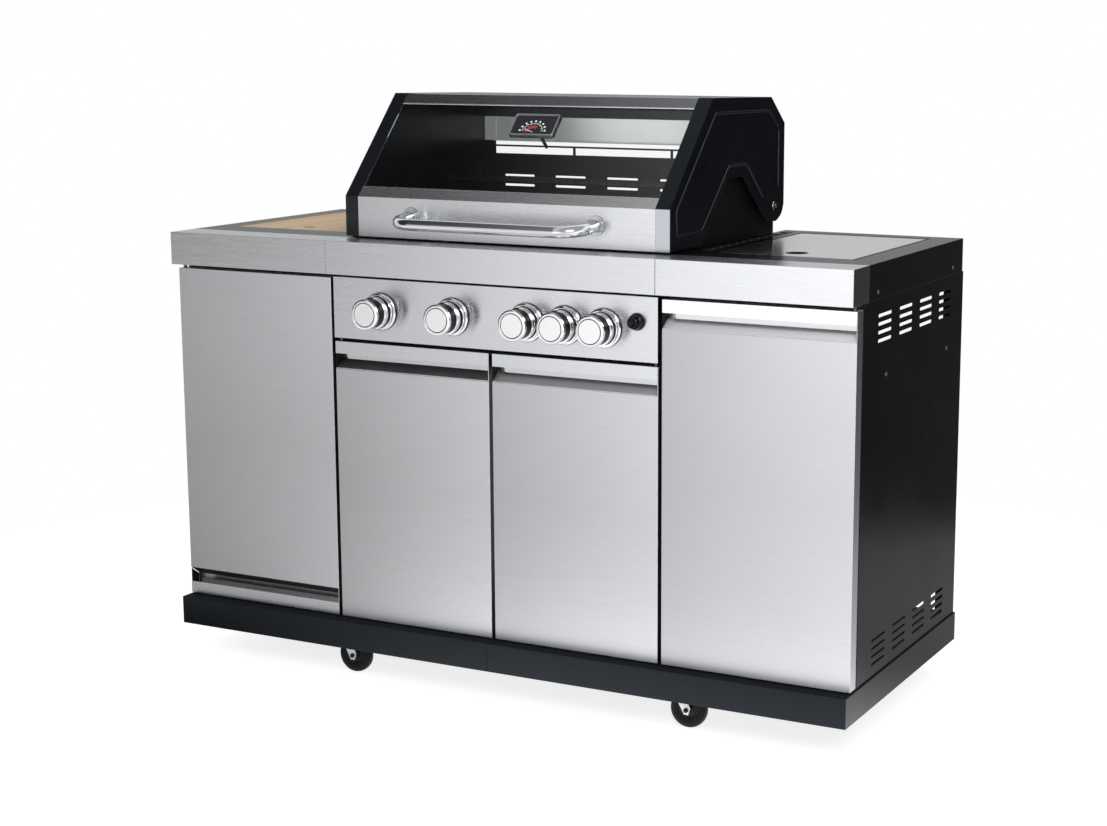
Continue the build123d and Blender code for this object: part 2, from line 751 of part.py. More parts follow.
support_high = bowl_floor + SUPPORT_HEIGHT
with BuildPart() as pan_support:
    reach = SUPPORT_REACH
    inner = reach - SUPPORT_BAR
    bar_low = support_high - SUPPORT_BAR
    block(
        (bay_middle - reach, burner_y - reach, bar_low),
        (bay_middle + reach, burner_y + reach, support_high),
    )
    block(
        (bay_middle - inner, burner_y - inner, bar_low),
        (bay_middle + inner, burner_y + inner, support_high),
        Mode.SUBTRACT,
    )
    half = SUPPORT_BAR / 2
    for way in (-1, 1):
        block(
            (bay_middle + way * (reach - SUPPORT_FINGER), burner_y - half, bar_low),
            (bay_middle + way * reach, burner_y + half, support_high),
        )
        block(
            (bay_middle - half, burner_y + way * (reach - SUPPORT_FINGER), bar_low),
            (bay_middle + half, burner_y + way * reach, support_high),
        )
        for other in (-1, 1):
            block(
                (bay_middle + way * reach, burner_y + other * reach, bowl_floor),
                (bay_middle + way * inner, burner_y + other * inner, support_high),
            )
write(pan_support, "pan_support")

# Black end panels that close the worktop's two ends behind the fascia
with BuildPart() as end_panels:
    for side in sides.values():
        block(
            (side * bay_out, fascia_back, fascia_low),
            (side * half_width, top_back, TOP_HEIGHT),
        )
write(end_panels, "end_panels")

# Control panel with holes for the valve stems and the igniter
knob_places = [place * KNOB_PITCH for place in (-1.5, -0.5, 0.5, 1.0, 1.5)]
igniter_x = knob_places[-1] + IGNITER_STEP
igniter_z = knob_z + IGNITER_RISE
with BuildPart() as control_panel:
    panel_section = [
        (cabinet_front, panel_high),
        (panel_front, panel_high),
        (panel_front, panel_low),
        (cabinet_front, panel_low),
    ]
    panel_half = seam_x - DOOR_GAP / 2
    plate(across(-panel_half), folded(panel_section, INOX), 2 * panel_half)
    for x in knob_places:
        with Locations(Plane(origin=(x, panel_front, knob_z), z_dir=(0, 1, 0))):
            Cylinder(BEZEL_BORE, INOX * 4, mode=Mode.SUBTRACT)
    with Locations(Plane(origin=(igniter_x, panel_front, igniter_z), z_dir=(0, 1, 0))):
        Cylinder(IGNITER_RADIUS + SLIP, INOX * 4, mode=Mode.SUBTRACT)
write(control_panel, "control_panel")

# Stepped bezels round the knobs, and the collar round the igniter
bezel_face = panel_front - BEZEL_HEIGHT
with BuildPart() as bezels:
    bezel = [
        (BEZEL_BORE, panel_front),
        (BEZEL_RADIUS, panel_front),
        (BEZEL_RADIUS, panel_front - BEZEL_STEP),
        (BEZEL_STEP_RADIUS, panel_front - BEZEL_STEP),
        (BEZEL_STEP_RADIUS, bezel_face + KNOB_CHAMFER),
        (BEZEL_STEP_RADIUS - KNOB_CHAMFER, bezel_face),
        (BEZEL_BORE, bezel_face),
    ]
    for x in knob_places:
        turned(bezel, facing(x, knob_z))
    collar_bore = IGNITER_RADIUS + SLIP
    collar = [
        (collar_bore, panel_front),
        (COLLAR_RADIUS, panel_front),
        (COLLAR_NOSE_RADIUS, panel_front - COLLAR_HEIGHT),
        (collar_bore, panel_front - COLLAR_HEIGHT),
    ]
    turned(collar, facing(igniter_x, igniter_z))
write(bezels, "bezels")

# Knobs: a face disc, a drawn-in neck and a skirt, bored for the valve stem
skirt_back = bezel_face - SLIP
face_back = knob_face + KNOB_FACE_LENGTH
neck_back = face_back + KNOB_NECK_LENGTH
stem_end = skirt_back - STEM_BITE
for number, x in enumerate(knob_places, start=1):
    with BuildPart() as knob:
        profile = [
            (0, knob_face),
            (KNOB_FACE_RADIUS - KNOB_CHAMFER, knob_face),
            (KNOB_FACE_RADIUS, knob_face + KNOB_CHAMFER),
            (KNOB_FACE_RADIUS, face_back - KNOB_CHAMFER),
            (KNOB_NECK_RADIUS, face_back),
            (KNOB_NECK_RADIUS, neck_back),
            (KNOB_SKIRT_RADIUS, neck_back + KNOB_CHAMFER),
            (KNOB_SKIRT_RADIUS, skirt_back),
            (STEM_RADIUS + RUN, skirt_back),
            (STEM_RADIUS + RUN, stem_end - SLIP),
            (0, stem_end - SLIP),
        ]
        turned(profile, facing(x, knob_z))
    write(knob, f"knob_{number}")

# Igniter button, which slides in its collar
button_face = panel_front - IGNITER_LENGTH
with BuildPart() as igniter_button:
    button = [
        (0, button_face),
        (IGNITER_RADIUS - KNOB_CHAMFER / 2, button_face),
        (IGNITER_RADIUS, button_face + KNOB_CHAMFER / 2),
        (IGNITER_RADIUS, panel_front + INOX),
        (IGNITER_SHAFT_RADIUS, panel_front + INOX),
        (IGNITER_SHAFT_RADIUS, panel_front + INOX + IGNITER_SHAFT_LENGTH - IGNITER_TRAVEL),
        (0, panel_front + INOX + IGNITER_SHAFT_LENGTH - IGNITER_TRAVEL),
    ]
    turned(button, facing(igniter_x, igniter_z))
write(igniter_button, "igniter_button")

# Gas manifold with a valve and a stem behind each knob, and the gas inlet
valve_front = panel_front + INOX
manifold_y = valve_front + VALVE_LENGTH + MANIFOLD_RADIUS
manifold_end = knob_places[-1] + MANIFOLD_TAIL
inlet_x = knob_places[0] - INLET_STEP
with BuildPart() as gas_manifold:
    with Locations(Plane(origin=(0, manifold_y, knob_z), z_dir=(1, 0, 0))):
        Cylinder(MANIFOLD_RADIUS, 2 * manifold_end)
    start = inlet_x - MANIFOLD_RADIUS * 2
    with Locations(Plane(origin=((start - manifold_end) / 2, manifold_y, knob_z), z_dir=(1, 0, 0))):
        Cylinder(MANIFOLD_RADIUS, -manifold_end - start)
    elbow = MANIFOLD_RADIUS
    inlet_z = knob_z - INLET_DROP
    block(
        (inlet_x - elbow, manifold_y - elbow, inlet_z - elbow),
        (inlet_x + elbow, manifold_y + elbow, knob_z),
    )
    inlet_y = manifold_y + elbow + INLET_LENGTH / 2
    with Locations(Plane(origin=(inlet_x, inlet_y, inlet_z), z_dir=(0, 1, 0))):
        Cylinder(INLET_RADIUS, INLET_LENGTH)
    half = VALVE_WIDTH / 2
    for x in knob_places:
        block((x - half, valve_front, knob_z - half), (x + half, manifold_y, knob_z + half))
        stem = [(0, valve_front), (STEM_RADIUS, valve_front), (STEM_RADIUS, stem_end), (0, stem_end)]
        turned(stem, facing(x, knob_z))
write(gas_manifold, "gas_manifold")

# Firebox: a black tub with raised ends, a slotted back, hood studs and runners for the grease tray
wall_x = firebox_half - STEEL
wall_front = firebox_front + STEEL
wall_back = firebox_back - STEEL
end_low = TOP_HEIGHT + FIREBOX_SIDE_RISE
hump_high = TOP_HEIGHT + HUMP_RISE
ear_high = TOP_HEIGHT + FIREBOX_EAR_RISE
end_outline = [
    (firebox_front, firebox_floor),
    (firebox_front, end_low),
    (firebox_front + HUMP_START, end_low),
    (firebox_front + HUMP_FRONT, hump_high),
    (firebox_front + HUMP_REAR, hump_high),
    (firebox_front + HUMP_END, ear_high),
    (firebox_back, ear_high),
    (firebox_back, firebox_floor),
]
plate_in = hood_half - STEEL
runner_low = firebox_floor - RUNNER_DROP
runner_x = TRAY_HALF + TRAY_LIP + SLIP
with BuildPart() as firebox:
    for side in sides.values():
        plate(across(side * wall_x), end_outline, side * STEEL)
        block(
            (side * firebox_half, firebox_front, fascia_low),
            (side * PARTITION_X, firebox_back, fascia_low + HANGER_HEIGHT),
        )
        stud = [
            (0, firebox_half),
            (STUD_BOSS_RADIUS, firebox_half),
            (STUD_BOSS_RADIUS, plate_in - SLIP),
            (STUD_RADIUS, plate_in - SLIP),
            (STUD_RADIUS, hood_half + SLIP),
            (STUD_HEAD_RADIUS, hood_half + SLIP),
            (STUD_HEAD_RADIUS, hood_half + SLIP + STUD_HEAD),
            (0, hood_half + SLIP + STUD_HEAD),
        ]
        hub = Plane(origin=(0, pivot_y, pivot_z), x_dir=(0, 0, 1), z_dir=(0, side, 0))
        turned(stud, hub)
        block(
            (side * runner_x, firebox_front, runner_low),
            (side * (runner_x + STEEL), firebox_back, firebox_floor),
        )
        block(
            (side * (runner_x - TRAY_LIP / 2), firebox_front, runner_low),
            (side * (runner_x + STEEL), firebox_back, runner_low + STEEL),
        )
    block(
        (-firebox_half, firebox_front, firebox_floor),
        (firebox_half, wall_front, TOP_HEIGHT + FIREBOX_FRONT_RISE),
    )
    block(
        (-firebox_half, wall_back, firebox_floor),
        (firebox_half, firebox_back, TOP_HEIGHT + FIREBOX_BACK_RISE),
    )
    block(
        (-firebox_half, firebox_front, firebox_floor),
        (firebox_half, firebox_back, firebox_floor + STEEL),
    )
    for y0, y1 in ((wall_front, wall_front + LEDGE_GRATE), (wall_back - LEDGE_GRATE, wall_back)):
        block((-wall_x, y0, grate_seat - STEEL), (wall_x, y1, grate_seat))
    middle_y = (firebox_front + firebox_back) / 2
    block(
        (-DRAIN_WIDTH / 2, middle_y - DRAIN_DEPTH / 2, firebox_floor),
        (DRAIN_WIDTH / 2, middle_y + DRAIN_DEPTH / 2, firebox_floor + STEEL),
        Mode.SUBTRACT,
    )
    window_pitch = (2 * wall_x + WINDOW_POST) / WINDOW_COUNT
    with BuildSketch(Plane.XZ.offset(-firebox_back)):
        for rise in SLOT_RISES:
            with Locations((0, TOP_HEIGHT + rise)):
                with GridLocations(SLOT_PITCH, 1, SLOT_COLUMNS, 1):
                    SlotOverall(SLOT_LENGTH, SLOT_HEIGHT)
        with Locations((0, TOP_HEIGHT + WINDOW_RISE + WINDOW_HEIGHT / 2)):
            with GridLocations(window_pitch, 1, WINDOW_COUNT, 1):
                Rectangle(window_pitch - WINDOW_POST, WINDOW_HEIGHT)
    extrude(amount=STEEL, both=True, mode=Mode.SUBTRACT)
write(firebox, "firebox")

# Burner tubes and the roofs over them, which span the firebox from front to back
burner_places = [(place - (BURNER_COUNT - 1) / 2) * KNOB_PITCH for place in range(BURNER_COUNT)]
with BuildPart() as burners:
    for x in burner_places:
        tube = [(0, wall_front), (BURNER_RADIUS, wall_front), (BURNER_RADIUS, wall_back), (0, wall_back)]
        turned(tube, facing(x, TOP_HEIGHT - BURNER_DROP))
write(burners, "burners")

tamer_low = TOP_HEIGHT - TAMER_DROP
with BuildPart() as flame_tamers:
    for x in burner_places:
        roof = [
            (x + TAMER_WIDTH / 2, tamer_low),
            (x, tamer_low + TAMER_RISE),
            (x - TAMER_WIDTH / 2, tamer_low),
        ]
        plate(Plane.XZ.offset(-wall_front), folded(roof, INOX), wall_front - wall_back)
write(flame_tamers, "flame_tamers")

# Two cast cooking grates side by side on the firebox ledges
with BuildPart() as cooking_grates:
    for side in sides.values():
        near = side * GRATE_GAP / 2
        far = side * (wall_x - GRATE_GAP)
        y0 = wall_front + GRATE_GAP
        y1 = wall_back - GRATE_GAP
        high = grate_seat + GRATE_HEIGHT
        block((near, y0, grate_seat), (far, y1, high))
        block(
            (near + side * GRATE_FRAME, y0 + GRATE_FRAME, grate_seat),
            (far - side * GRATE_FRAME, y1 - GRATE_FRAME, high),
            Mode.SUBTRACT,
        )
        inner_width = abs(far - near) - 2 * GRATE_FRAME
        bar_pitch = inner_width / (GRATE_BARS + 1)
        with Locations(((near + far) / 2, (y0 + y1) / 2, grate_seat + GRATE_HEIGHT / 2)):
            with GridLocations(bar_pitch, 1, GRATE_BARS, 1):
                Box(GRATE_BAR, y1 - y0 - 2 * GRATE_FRAME, GRATE_HEIGHT)
            Box(inner_width, GRATE_FRAME, GRATE_HEIGHT)
write(cooking_grates, "cooking_grates")

# Warming rack: wires between two brackets on the firebox ends
rack_back = firebox_back - RACK_REAR
rack_front = rack_back - RACK_DEPTH
rack_high = TOP_HEIGHT + RACK_RISE
with BuildPart() as warming_rack:
    for side in sides.values():
        block(
            (side * (wall_x - INOX), rack_front, rack_high - RACK_HEIGHT),
            (side * wall_x, rack_back, rack_high),
        )
    wire_pitch = RACK_DEPTH / RACK_WIRES
    for wire in range(RACK_WIRES):
        wire_y = rack_front + (wire + 0.5) * wire_pitch
        with Locations(Plane(origin=(0, wire_y, rack_high - 2 * RACK_WIRE_RADIUS), z_dir=(1, 0, 0))):
            Cylinder(RACK_WIRE_RADIUS, 2 * wall_x - INOX)
write(warming_rack, "warming_rack")

# Grease tray, hung by its lips on the runners and drawn out at the back
lip_low = runner_low + STEEL + SLIP
tray_front = firebox_front + TRAY_FRONT_GAP
tray_back = firebox_back - TRAY_REAR_GAP
with BuildPart() as grease_tray:
    block(
        (-TRAY_HALF, tray_front, lip_low + STEEL - TRAY_HEIGHT),
        (TRAY_HALF, tray_back, lip_low + STEEL),
    )
    block(
        (-TRAY_HALF - TRAY_LIP, tray_front, lip_low),
        (TRAY_HALF + TRAY_LIP, tray_back, lip_low + STEEL),
    )
    block(
        (-TRAY_HALF + STEEL, tray_front + STEEL, lip_low + 2 * STEEL - TRAY_HEIGHT),
        (TRAY_HALF - STEEL, tray_back - STEEL, lip_low + STEEL),
        Mode.SUBTRACT,
    )
write(grease_tray, "grease_tray")

# Hood: the side outline, and the slope that the glazing lies on, a little behind the sides' edges
rim_front = hood_front + INOX
ridge_front = hood_front + HOOD_SLOPE_RUN
ridge_back = hood_back - CHAMFER_RUN
ridge_low = hood_high - ROOF_DROP
eave = ridge_low - CHAMFER_DROP
rim_line = [
    (rim_front, hood_low),
    (rim_front, hood_bend),
    (ridge_front, hood_high),
    (ridge_back, ridge_low),
    (hood_back, eave),
    (hood_back, TOP_HEIGHT + RIM_REAR_RISE),
]
ear_low = TOP_HEIGHT + EAR_RISE
notch_high = TOP_HEIGHT + NOTCH_RISE
notch_front = hood_front + NOTCH_FRONT
notch_rear = notch_front + NOTCH_REAR
ear_line = [
    (hood_back, pivot_z + EAR_NECK_RISE),
    (pivot_y + EAR_CHEEK, pivot_z - EAR_CHEEK_DROP),
    (pivot_y + EAR_REAR, ear_low),
    (pivot_y - EAR_FRONT, ear_low + STEEL),
    (notch_rear + NOTCH_BEND, notch_high - NOTCH_BEND_DROP),
    (notch_rear, notch_high),
    (notch_front, notch_high),
    (hood_front + NOTCH_FOOT, hood_low),
]
slope_run = ridge_front - rim_front
slope_rise = hood_high - hood_bend
slope_length = hypot(slope_run, slope_rise)
up_y = slope_run / slope_length
up_z = slope_rise / slope_length
glazing_bend = hood_bend - GLAZING_RECESS
glazing_length = (hood_high - INOX - glazing_bend) / up_z


def on_slope(along, out):
    """Point of the YZ plane at a distance up the glazing slope and a distance out of it."""
    return (hood_front + along * up_y - out * up_z, glazing_bend + along * up_z + out * up_y)


glazing_half = hood_half - STEEL - RIM_WIDTH - SLIP
for name, side in sides.items():
    with BuildPart() as hood_side:
        with BuildSketch(across(side * plate_in)) as side_outline:
            with BuildLine():
                Polyline(*rim_line, *ear_line, close=True)
            make_face()
            for corners, radius in ((ear_line[1:4], EAR_ROUND), (ear_line[5:7], NOTCH_ROUND)):
                fillet(corners_at(side_outline, corners), radius)
        extrude(side_outline.sketch, amount=side * STEEL)
        plate(across(side * plate_in), folded(rim_line, -STEEL), -side * RIM_WIDTH)
        with Locations(Plane(origin=(side * hood_half, pivot_y, pivot_z), z_dir=(1, 0, 0))):
            Cylinder(STUD_RADIUS + RUN, STEEL * 4, mode=Mode.SUBTRACT)
    write(hood_side, f"hood_side_{name}")

# Hood front: a stainless sheet with a hem below and a strip that turns up the slope
front_section = [
    (hood_front + HEM, hood_low),
    (hood_front, hood_low),
    (hood_front, glazing_bend),
    on_slope(STRIP_WIDTH, 0),
]
front_half = glazing_half + 2 * SLIP
with BuildPart() as hood_front_panel:
    plate(across(-glazing_half), folded(front_section, -INOX), 2 * glazing_half)
    block((-front_half, hood_front, hood_low), (front_half, rim_front, glazing_bend))
write(hood_front_panel, "hood_front")

# Stainless trims on the hood's two front corners
with BuildPart() as hood_trims:
    for side in sides.values():
        block(
            (side * (front_half + SLIP), hood_front, hood_low),
            (side * hood_half, rim_front, glazing_bend),
        )
write(hood_trims, "hood_trims")

# Hood glass, held behind the strip below and the bar above, with a hole for the thermometer
bar_low = glazing_length - BAR_WIDTH
glass_low = STRIP_WIDTH - GLASS_OVERLAP
glass_high = bar_low + GLASS_OVERLAP
gauge_plane = Plane(
    origin=(GAUGE_X, *on_slope(GAUGE_UP, -INOX)), x_dir=(1, 0, 0), z_dir=(0, -up_z, up_y)
)
with BuildPart() as hood_glass:
    pane = [
        on_slope(glass_low, -INOX),
        on_slope(glass_high, -INOX),
        on_slope(glass_high, -INOX - GLASS),
        on_slope(glass_low, -INOX - GLASS),
    ]
    plate(across(-glazing_half), pane, 2 * glazing_half)
    with Locations(gauge_plane):
        Cylinder(GAUGE_STEM_RADIUS, GLASS * 3, mode=Mode.SUBTRACT)
write(hood_glass, "hood_glass")

# Hood top bar, roof and back: folded sheets one behind the other
bar_back = (on_slope(glazing_length, 0)[0] + BAR_TOP, hood_high - INOX)
with BuildPart() as hood_top_bar:
    bar_section = [on_slope(bar_low, 0), on_slope(glazing_length, 0), bar_back]
    plate(across(-glazing_half), folded(bar_section, -INOX), 2 * glazing_half)
write(hood_top_bar, "hood_top_bar")

with BuildPart() as hood_roof:
    roof_front = (bar_back[0] + SLIP, bar_back[1])
    roof_section = [roof_front, (ridge_back, ridge_low), (hood_back - INOX, eave)]
    plate(across(-glazing_half), folded(roof_section, -INOX), 2 * glazing_half)
write(hood_roof, "hood_roof")

with BuildPart() as hood_back_panel:
    back_low = TOP_HEIGHT + BACK_RISE
    back_section = [
        (hood_back, eave),
        (hood_back, back_low),
        (hood_back - HEM, back_low),
    ]
    plate(across(-glazing_half), folded(back_section, -INOX), 2 * glazing_half)
write(hood_back_panel, "hood_back")

# Hood handle: a bent tube on two rosettes
handle_z = hood_low + HANDLE_RISE
handle_y = hood_front - HANDLE_REACH
tube_root = hood_front - ROSETTE_HEIGHT / 2
with BuildPart() as hood_handle:
    with BuildLine():
        FilletPolyline(
            (-HANDLE_X, tube_root, handle_z),
            (-HANDLE_X, handle_y, handle_z - HANDLE_DROOP),
            (HANDLE_X, handle_y, handle_z - HANDLE_DROOP),
            (HANDLE_X, tube_root, handle_z),
            radius=HANDLE_BEND,
        )
    post = (0, handle_y - tube_root, -HANDLE_DROOP)
    with BuildSketch(Plane(origin=(-HANDLE_X, tube_root, handle_z), z_dir=post)):
        Circle(HANDLE_RADIUS)
    sweep()
    for x in (-HANDLE_X, HANDLE_X):
        rosette = [
            (0, hood_front),
            (ROSETTE_RADIUS, hood_front),
            (ROSETTE_RADIUS, hood_front - ROSETTE_HEIGHT / 2),
            (ROSETTE_RADIUS - ROSETTE_HEIGHT / 2, hood_front - ROSETTE_HEIGHT / 2),
            (ROSETTE_RADIUS - ROSETTE_HEIGHT / 2, hood_front - ROSETTE_HEIGHT),
            (0, hood_front - ROSETTE_HEIGHT),
        ]
        turned(rosette, facing(x, handle_z))
write(hood_handle, "hood_handle")

# Thermometer: a case on the glass and a probe through it
with BuildPart() as thermometer:
    with BuildSketch(gauge_plane):
        RectangleRounded(GAUGE_WIDTH, GAUGE_HEIGHT, GAUGE_ROUND)
    extrude(amount=GAUGE_DEPTH)
    with BuildSketch(gauge_plane):
        Circle(GAUGE_STEM_RADIUS)
    extrude(amount=-GAUGE_STEM)
write(thermometer, "thermometer")
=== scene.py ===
import math

import bmesh
import bpy
from mathutils import Matrix, Vector


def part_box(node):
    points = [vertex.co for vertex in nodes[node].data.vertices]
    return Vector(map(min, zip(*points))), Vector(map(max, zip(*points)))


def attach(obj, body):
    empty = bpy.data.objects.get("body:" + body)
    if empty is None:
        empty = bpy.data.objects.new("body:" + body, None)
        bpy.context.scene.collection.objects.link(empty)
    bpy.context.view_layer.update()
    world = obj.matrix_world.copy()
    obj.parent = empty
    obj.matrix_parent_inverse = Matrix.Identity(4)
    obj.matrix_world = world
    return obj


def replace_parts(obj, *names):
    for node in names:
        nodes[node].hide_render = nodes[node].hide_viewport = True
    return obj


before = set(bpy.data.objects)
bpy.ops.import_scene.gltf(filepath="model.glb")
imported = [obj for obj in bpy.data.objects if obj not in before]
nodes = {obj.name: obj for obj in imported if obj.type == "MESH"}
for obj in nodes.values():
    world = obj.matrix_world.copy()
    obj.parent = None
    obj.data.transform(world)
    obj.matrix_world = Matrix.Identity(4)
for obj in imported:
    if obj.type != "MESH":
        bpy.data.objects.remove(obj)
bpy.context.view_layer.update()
scene = bpy.context.scene
MM = 0.001

# Grain of the finishes: texture scales per metre along X, Y and Z, and lengths in metres
HAIRLINES = (26.0, 900.0, 900.0)
STREAKS = (7.0, 220.0, 220.0)
STEEL_CLOUDS = (2.2, 3.0, 3.0)
PAINT_CLOUDS = (4.0, 4.0, 4.0)
WIPE_MARKS = (240.0, 900.0, 240.0)
CAST_SKIN = (420.0, 420.0, 420.0)
CAST_MOTTLE = (70.0, 70.0, 70.0)
WOOD_FIBRES = (420.0, 9.0, 420.0)
WOOD_STRIPS = 48.0
GLASS_SMUDGES = (9.0, 9.0, 9.0)
# Reach of the painted shade in gaps and inner corners, in metres
CREVICE_SHADE_REACH = 0.010
SHEET_EDGE, PLATED_EDGE, CAST_EDGE, BOARD_EDGE = 0.0012, 0.0006, 0.0008, 0.002
HAIRLINE_DEPTH, SKIN_DEPTH, CAST_DEPTH = 0.0003, 0.0004, 0.0005


# Node materials
class Finish:
    """A procedural material: a Principled shader with short helpers round it."""

    def __init__(self, name, colour, metallic, roughness, **values):
        self.material = bpy.data.materials.new(name)
        self.material.use_nodes = True
        self.tree = self.material.node_tree
        self.shader = self.tree.nodes["Principled BSDF"]
        self.output = self.tree.nodes["Material Output"]
        self.shader.inputs["Base Color"].default_value = (*colour, 1)
        self.shader.inputs["Metallic"].default_value = metallic
        self.shader.inputs["Roughness"].default_value = roughness
        for socket, value in values.items():
            self.shader.inputs[socket.replace("_", " ")].default_value = value
        self.normal = None

    def add(self, kind, **values):
        node = self.tree.nodes.new(kind)
        for key, value in values.items():
            setattr(node, key, value)
        return node

    def link(self, out, into):
        self.tree.links.new(out, into)

    def place(self, scale):
        """Coordinates fixed to the piece, stretched by a scale per metre."""
        coordinates = self.add("ShaderNodeTexCoord")
        mapping = self.add("ShaderNodeMapping")
        mapping.inputs["Scale"].default_value = scale
        self.link(coordinates.outputs["Object"], mapping.inputs["Vector"])
        return mapping.outputs["Vector"]

    def noise(self, scale, detail=3.0, rough=0.55):
        texture = self.add("ShaderNodeTexNoise")
        texture.inputs["Scale"].default_value = 1.0
        texture.inputs["Detail"].default_value = detail
        texture.inputs["Roughness"].default_value = rough
        self.link(self.place(scale), texture.inputs["Vector"])
        return texture.outputs["Fac"]

    def ranged(self, value, low, high, start=0.3, end=0.7):
        mapped = self.add("ShaderNodeMapRange")
        for socket, number in (("From Min", start), ("From Max", end), ("To Min", low), ("To Max", high)):
            mapped.inputs[socket].default_value = number
        self.link(value, mapped.inputs["Value"])
        return mapped.outputs["Result"]

    def combined(self, operation, one, other):
        math_node = self.add("ShaderNodeMath", operation=operation)
        for socket, value in zip(math_node.inputs, (one, other)):
            if isinstance(value, (int, float)):
                socket.default_value = value
            else:
                self.link(value, socket)
        return math_node.outputs["Value"]

    def blended(self, one, share, other):
        """Adds two values, weighted by the share of the first."""
        first = self.combined("MULTIPLY", one, share)
        second = self.combined("MULTIPLY", other, 1 - share)
        return self.combined("ADD", first, second)

    def axes(self, kind, output):
        """The X, Y and Z parts of a node's vector."""
        parts = self.add("ShaderNodeSeparateXYZ")
        self.link(self.add(kind).outputs[output], parts.inputs["Vector"])
        return parts.outputs

    def tint(self, factor, low, high):
        """Colours the surface between two colours by a factor."""
        mix = self.add("ShaderNodeMix", data_type="RGBA")
        mix.inputs[6].default_value = (*low, 1)
        mix.inputs[7].default_value = (*high, 1)
        self.link(factor, mix.inputs[0])
        self.link(mix.outputs[2], self.shader.inputs["Base Color"])
        return mix.outputs[2]

    def shaded(self, colour, level):
        """Multiplies a colour by a grey level and puts it on the surface."""
        mix = self.add("ShaderNodeMix", data_type="RGBA", blend_type="MULTIPLY")
        mix.inputs[0].default_value = 1.0
        self.link(colour, mix.inputs[6])
        tone = self.add("ShaderNodeCombineColor")
        for socket in tone.inputs:
            self.link(level, socket)
        self.link(tone.outputs["Color"], mix.inputs[7])
        self.link(mix.outputs[2], self.shader.inputs["Base Color"])
        return mix.outputs[2]

    def painted_crevice_shade(self, colour, reach):
        """Paints shade into narrow gaps and inner corners, from ambient occlusion."""
        shelter = self.add("ShaderNodeAmbientOcclusion", samples=6)
        shelter.inputs["Distance"].default_value = reach
        return self.shaded(colour, self.ranged(shelter.outputs["AO"], 0.06, 1.0, 0.30, 0.75))

    def painted_sheet_shade(self, colour, depth):
        """Paints shade across a sheet, as a slight curve in it would show: darker to the left and half-way
        up.
        """
        parts = self.axes("ShaderNodeTexCoord", "Generated")
        across = self.ranged(parts["X"], 1 - depth, 1.0, 0.0, 1.0)
        folded = self.combined("PINGPONG", parts["Z"], 0.5)
        upward = self.ranged(folded, 1.0, 1 - depth / 2, 0.0, 0.5)
        return self.shaded(colour, self.combined("MULTIPLY", across, upward))

    def painted_recess_shade(self, colour, dull, shade):
        """Dulls faces that look up and paints shade on them, or light where the factor is above one, and
        paints shade on faces that look down, as in a finger recess.
        """
        height = self.axes("ShaderNodeNewGeometry", "True Normal")["Z"]
        upward = self.ranged(height, 0.0, 1.0, 0.35, 0.65)
        self.link(self.ranged(upward, 1.0, 1.0 - dull, 0.0, 1.0), self.shader.inputs["Metallic"])
        downward = self.ranged(height, 0.28, 1.0, -0.65, -0.35)
        toned = self.ranged(upward, 1.0, shade, 0.0, 1.0)
        return self.shaded(colour, self.combined("MULTIPLY", downward, toned))

    def crowned(self, amount):
        """Leans the shading outwards to the left and right, as on a slightly crowned strip."""
        across = self.axes("ShaderNodeTexCoord", "Object")["X"]
        lean = self.add("ShaderNodeCombineXYZ")
        self.link(self.ranged(across, -amount, amount, -0.1, 0.1), lean.inputs["X"])
        geometry = self.add("ShaderNodeNewGeometry")
        leant = self.add("ShaderNodeVectorMath", operation="ADD")
        self.link(geometry.outputs["Normal"], leant.inputs[0])
        self.link(lean.outputs["Vector"], leant.inputs[1])
        unit = self.add("ShaderNodeVectorMath", operation="NORMALIZE")
        self.link(leant.outputs["Vector"], unit.inputs[0])
        self.normal = unit.outputs["Vector"]
        self.link(self.normal, self.shader.inputs["Normal"])

    def matt_tops(self, roughness):
        """Takes the gloss off faces that look up."""
        height = self.axes("ShaderNodeNewGeometry", "True Normal")["Z"]
        return self.combined("MAXIMUM", roughness, self.ranged(height, 0.0, 0.95, 0.4, 0.6))

    def rough(self, factor):
        self.link(factor, self.shader.inputs["Roughness"])

    def rounded(self, radius):
        """Softens the sharp edges of sheet and cast parts in the shading."""
        bevel = self.add("ShaderNodeBevel", samples=4)
        bevel.inputs["Radius"].default_value = radius
        self.normal = bevel.outputs["Normal"]
        self.link(self.normal, self.shader.inputs["Normal"])

    def bump(self, height, strength, distance):
        bump = self.add("ShaderNodeBump")
        bump.inputs["Strength"].default_value = strength
        bump.inputs["Distance"].default_value = distance
        self.link(height, bump.inputs["Height"])
        if self.normal is not None:
            self.link(self.normal, bump.inputs["Normal"])
        self.normal = bump.outputs["Normal"]
        self.link(self.normal, self.shader.inputs["Normal"])

    def brushed_along(self, axis):
        """Smears reflections across the direction in which the metal was brushed."""
        direction = self.add("ShaderNodeCombineXYZ")
        for socket, value in zip(direction.inputs, axis):
            socket.default_value = value
        turned = self.add(
            "ShaderNodeVectorTransform", vector_type="VECTOR", convert_from="OBJECT", convert_to="WORLD"
        )
        self.link(direction.outputs["Vector"], turned.inputs["Vector"])
        geometry = self.add("ShaderNodeNewGeometry")
        cross = self.add("ShaderNodeVectorMath", operation="CROSS_PRODUCT")
        self.link(geometry.outputs["True Normal"], cross.inputs[0])
        self.link(turned.outputs["Vector"], cross.inputs[1])
        nudged = self.add("ShaderNodeVectorMath", operation="ADD")
        nudged.inputs[1].default_value = (0.003, 0.004, 0.005)
        self.link(cross.outputs["Vector"], nudged.inputs[0])
        self.link(nudged.outputs["Vector"], self.shader.inputs["Tangent"])


def scaled(colour, factor):
    return tuple(channel * factor for channel in colour)


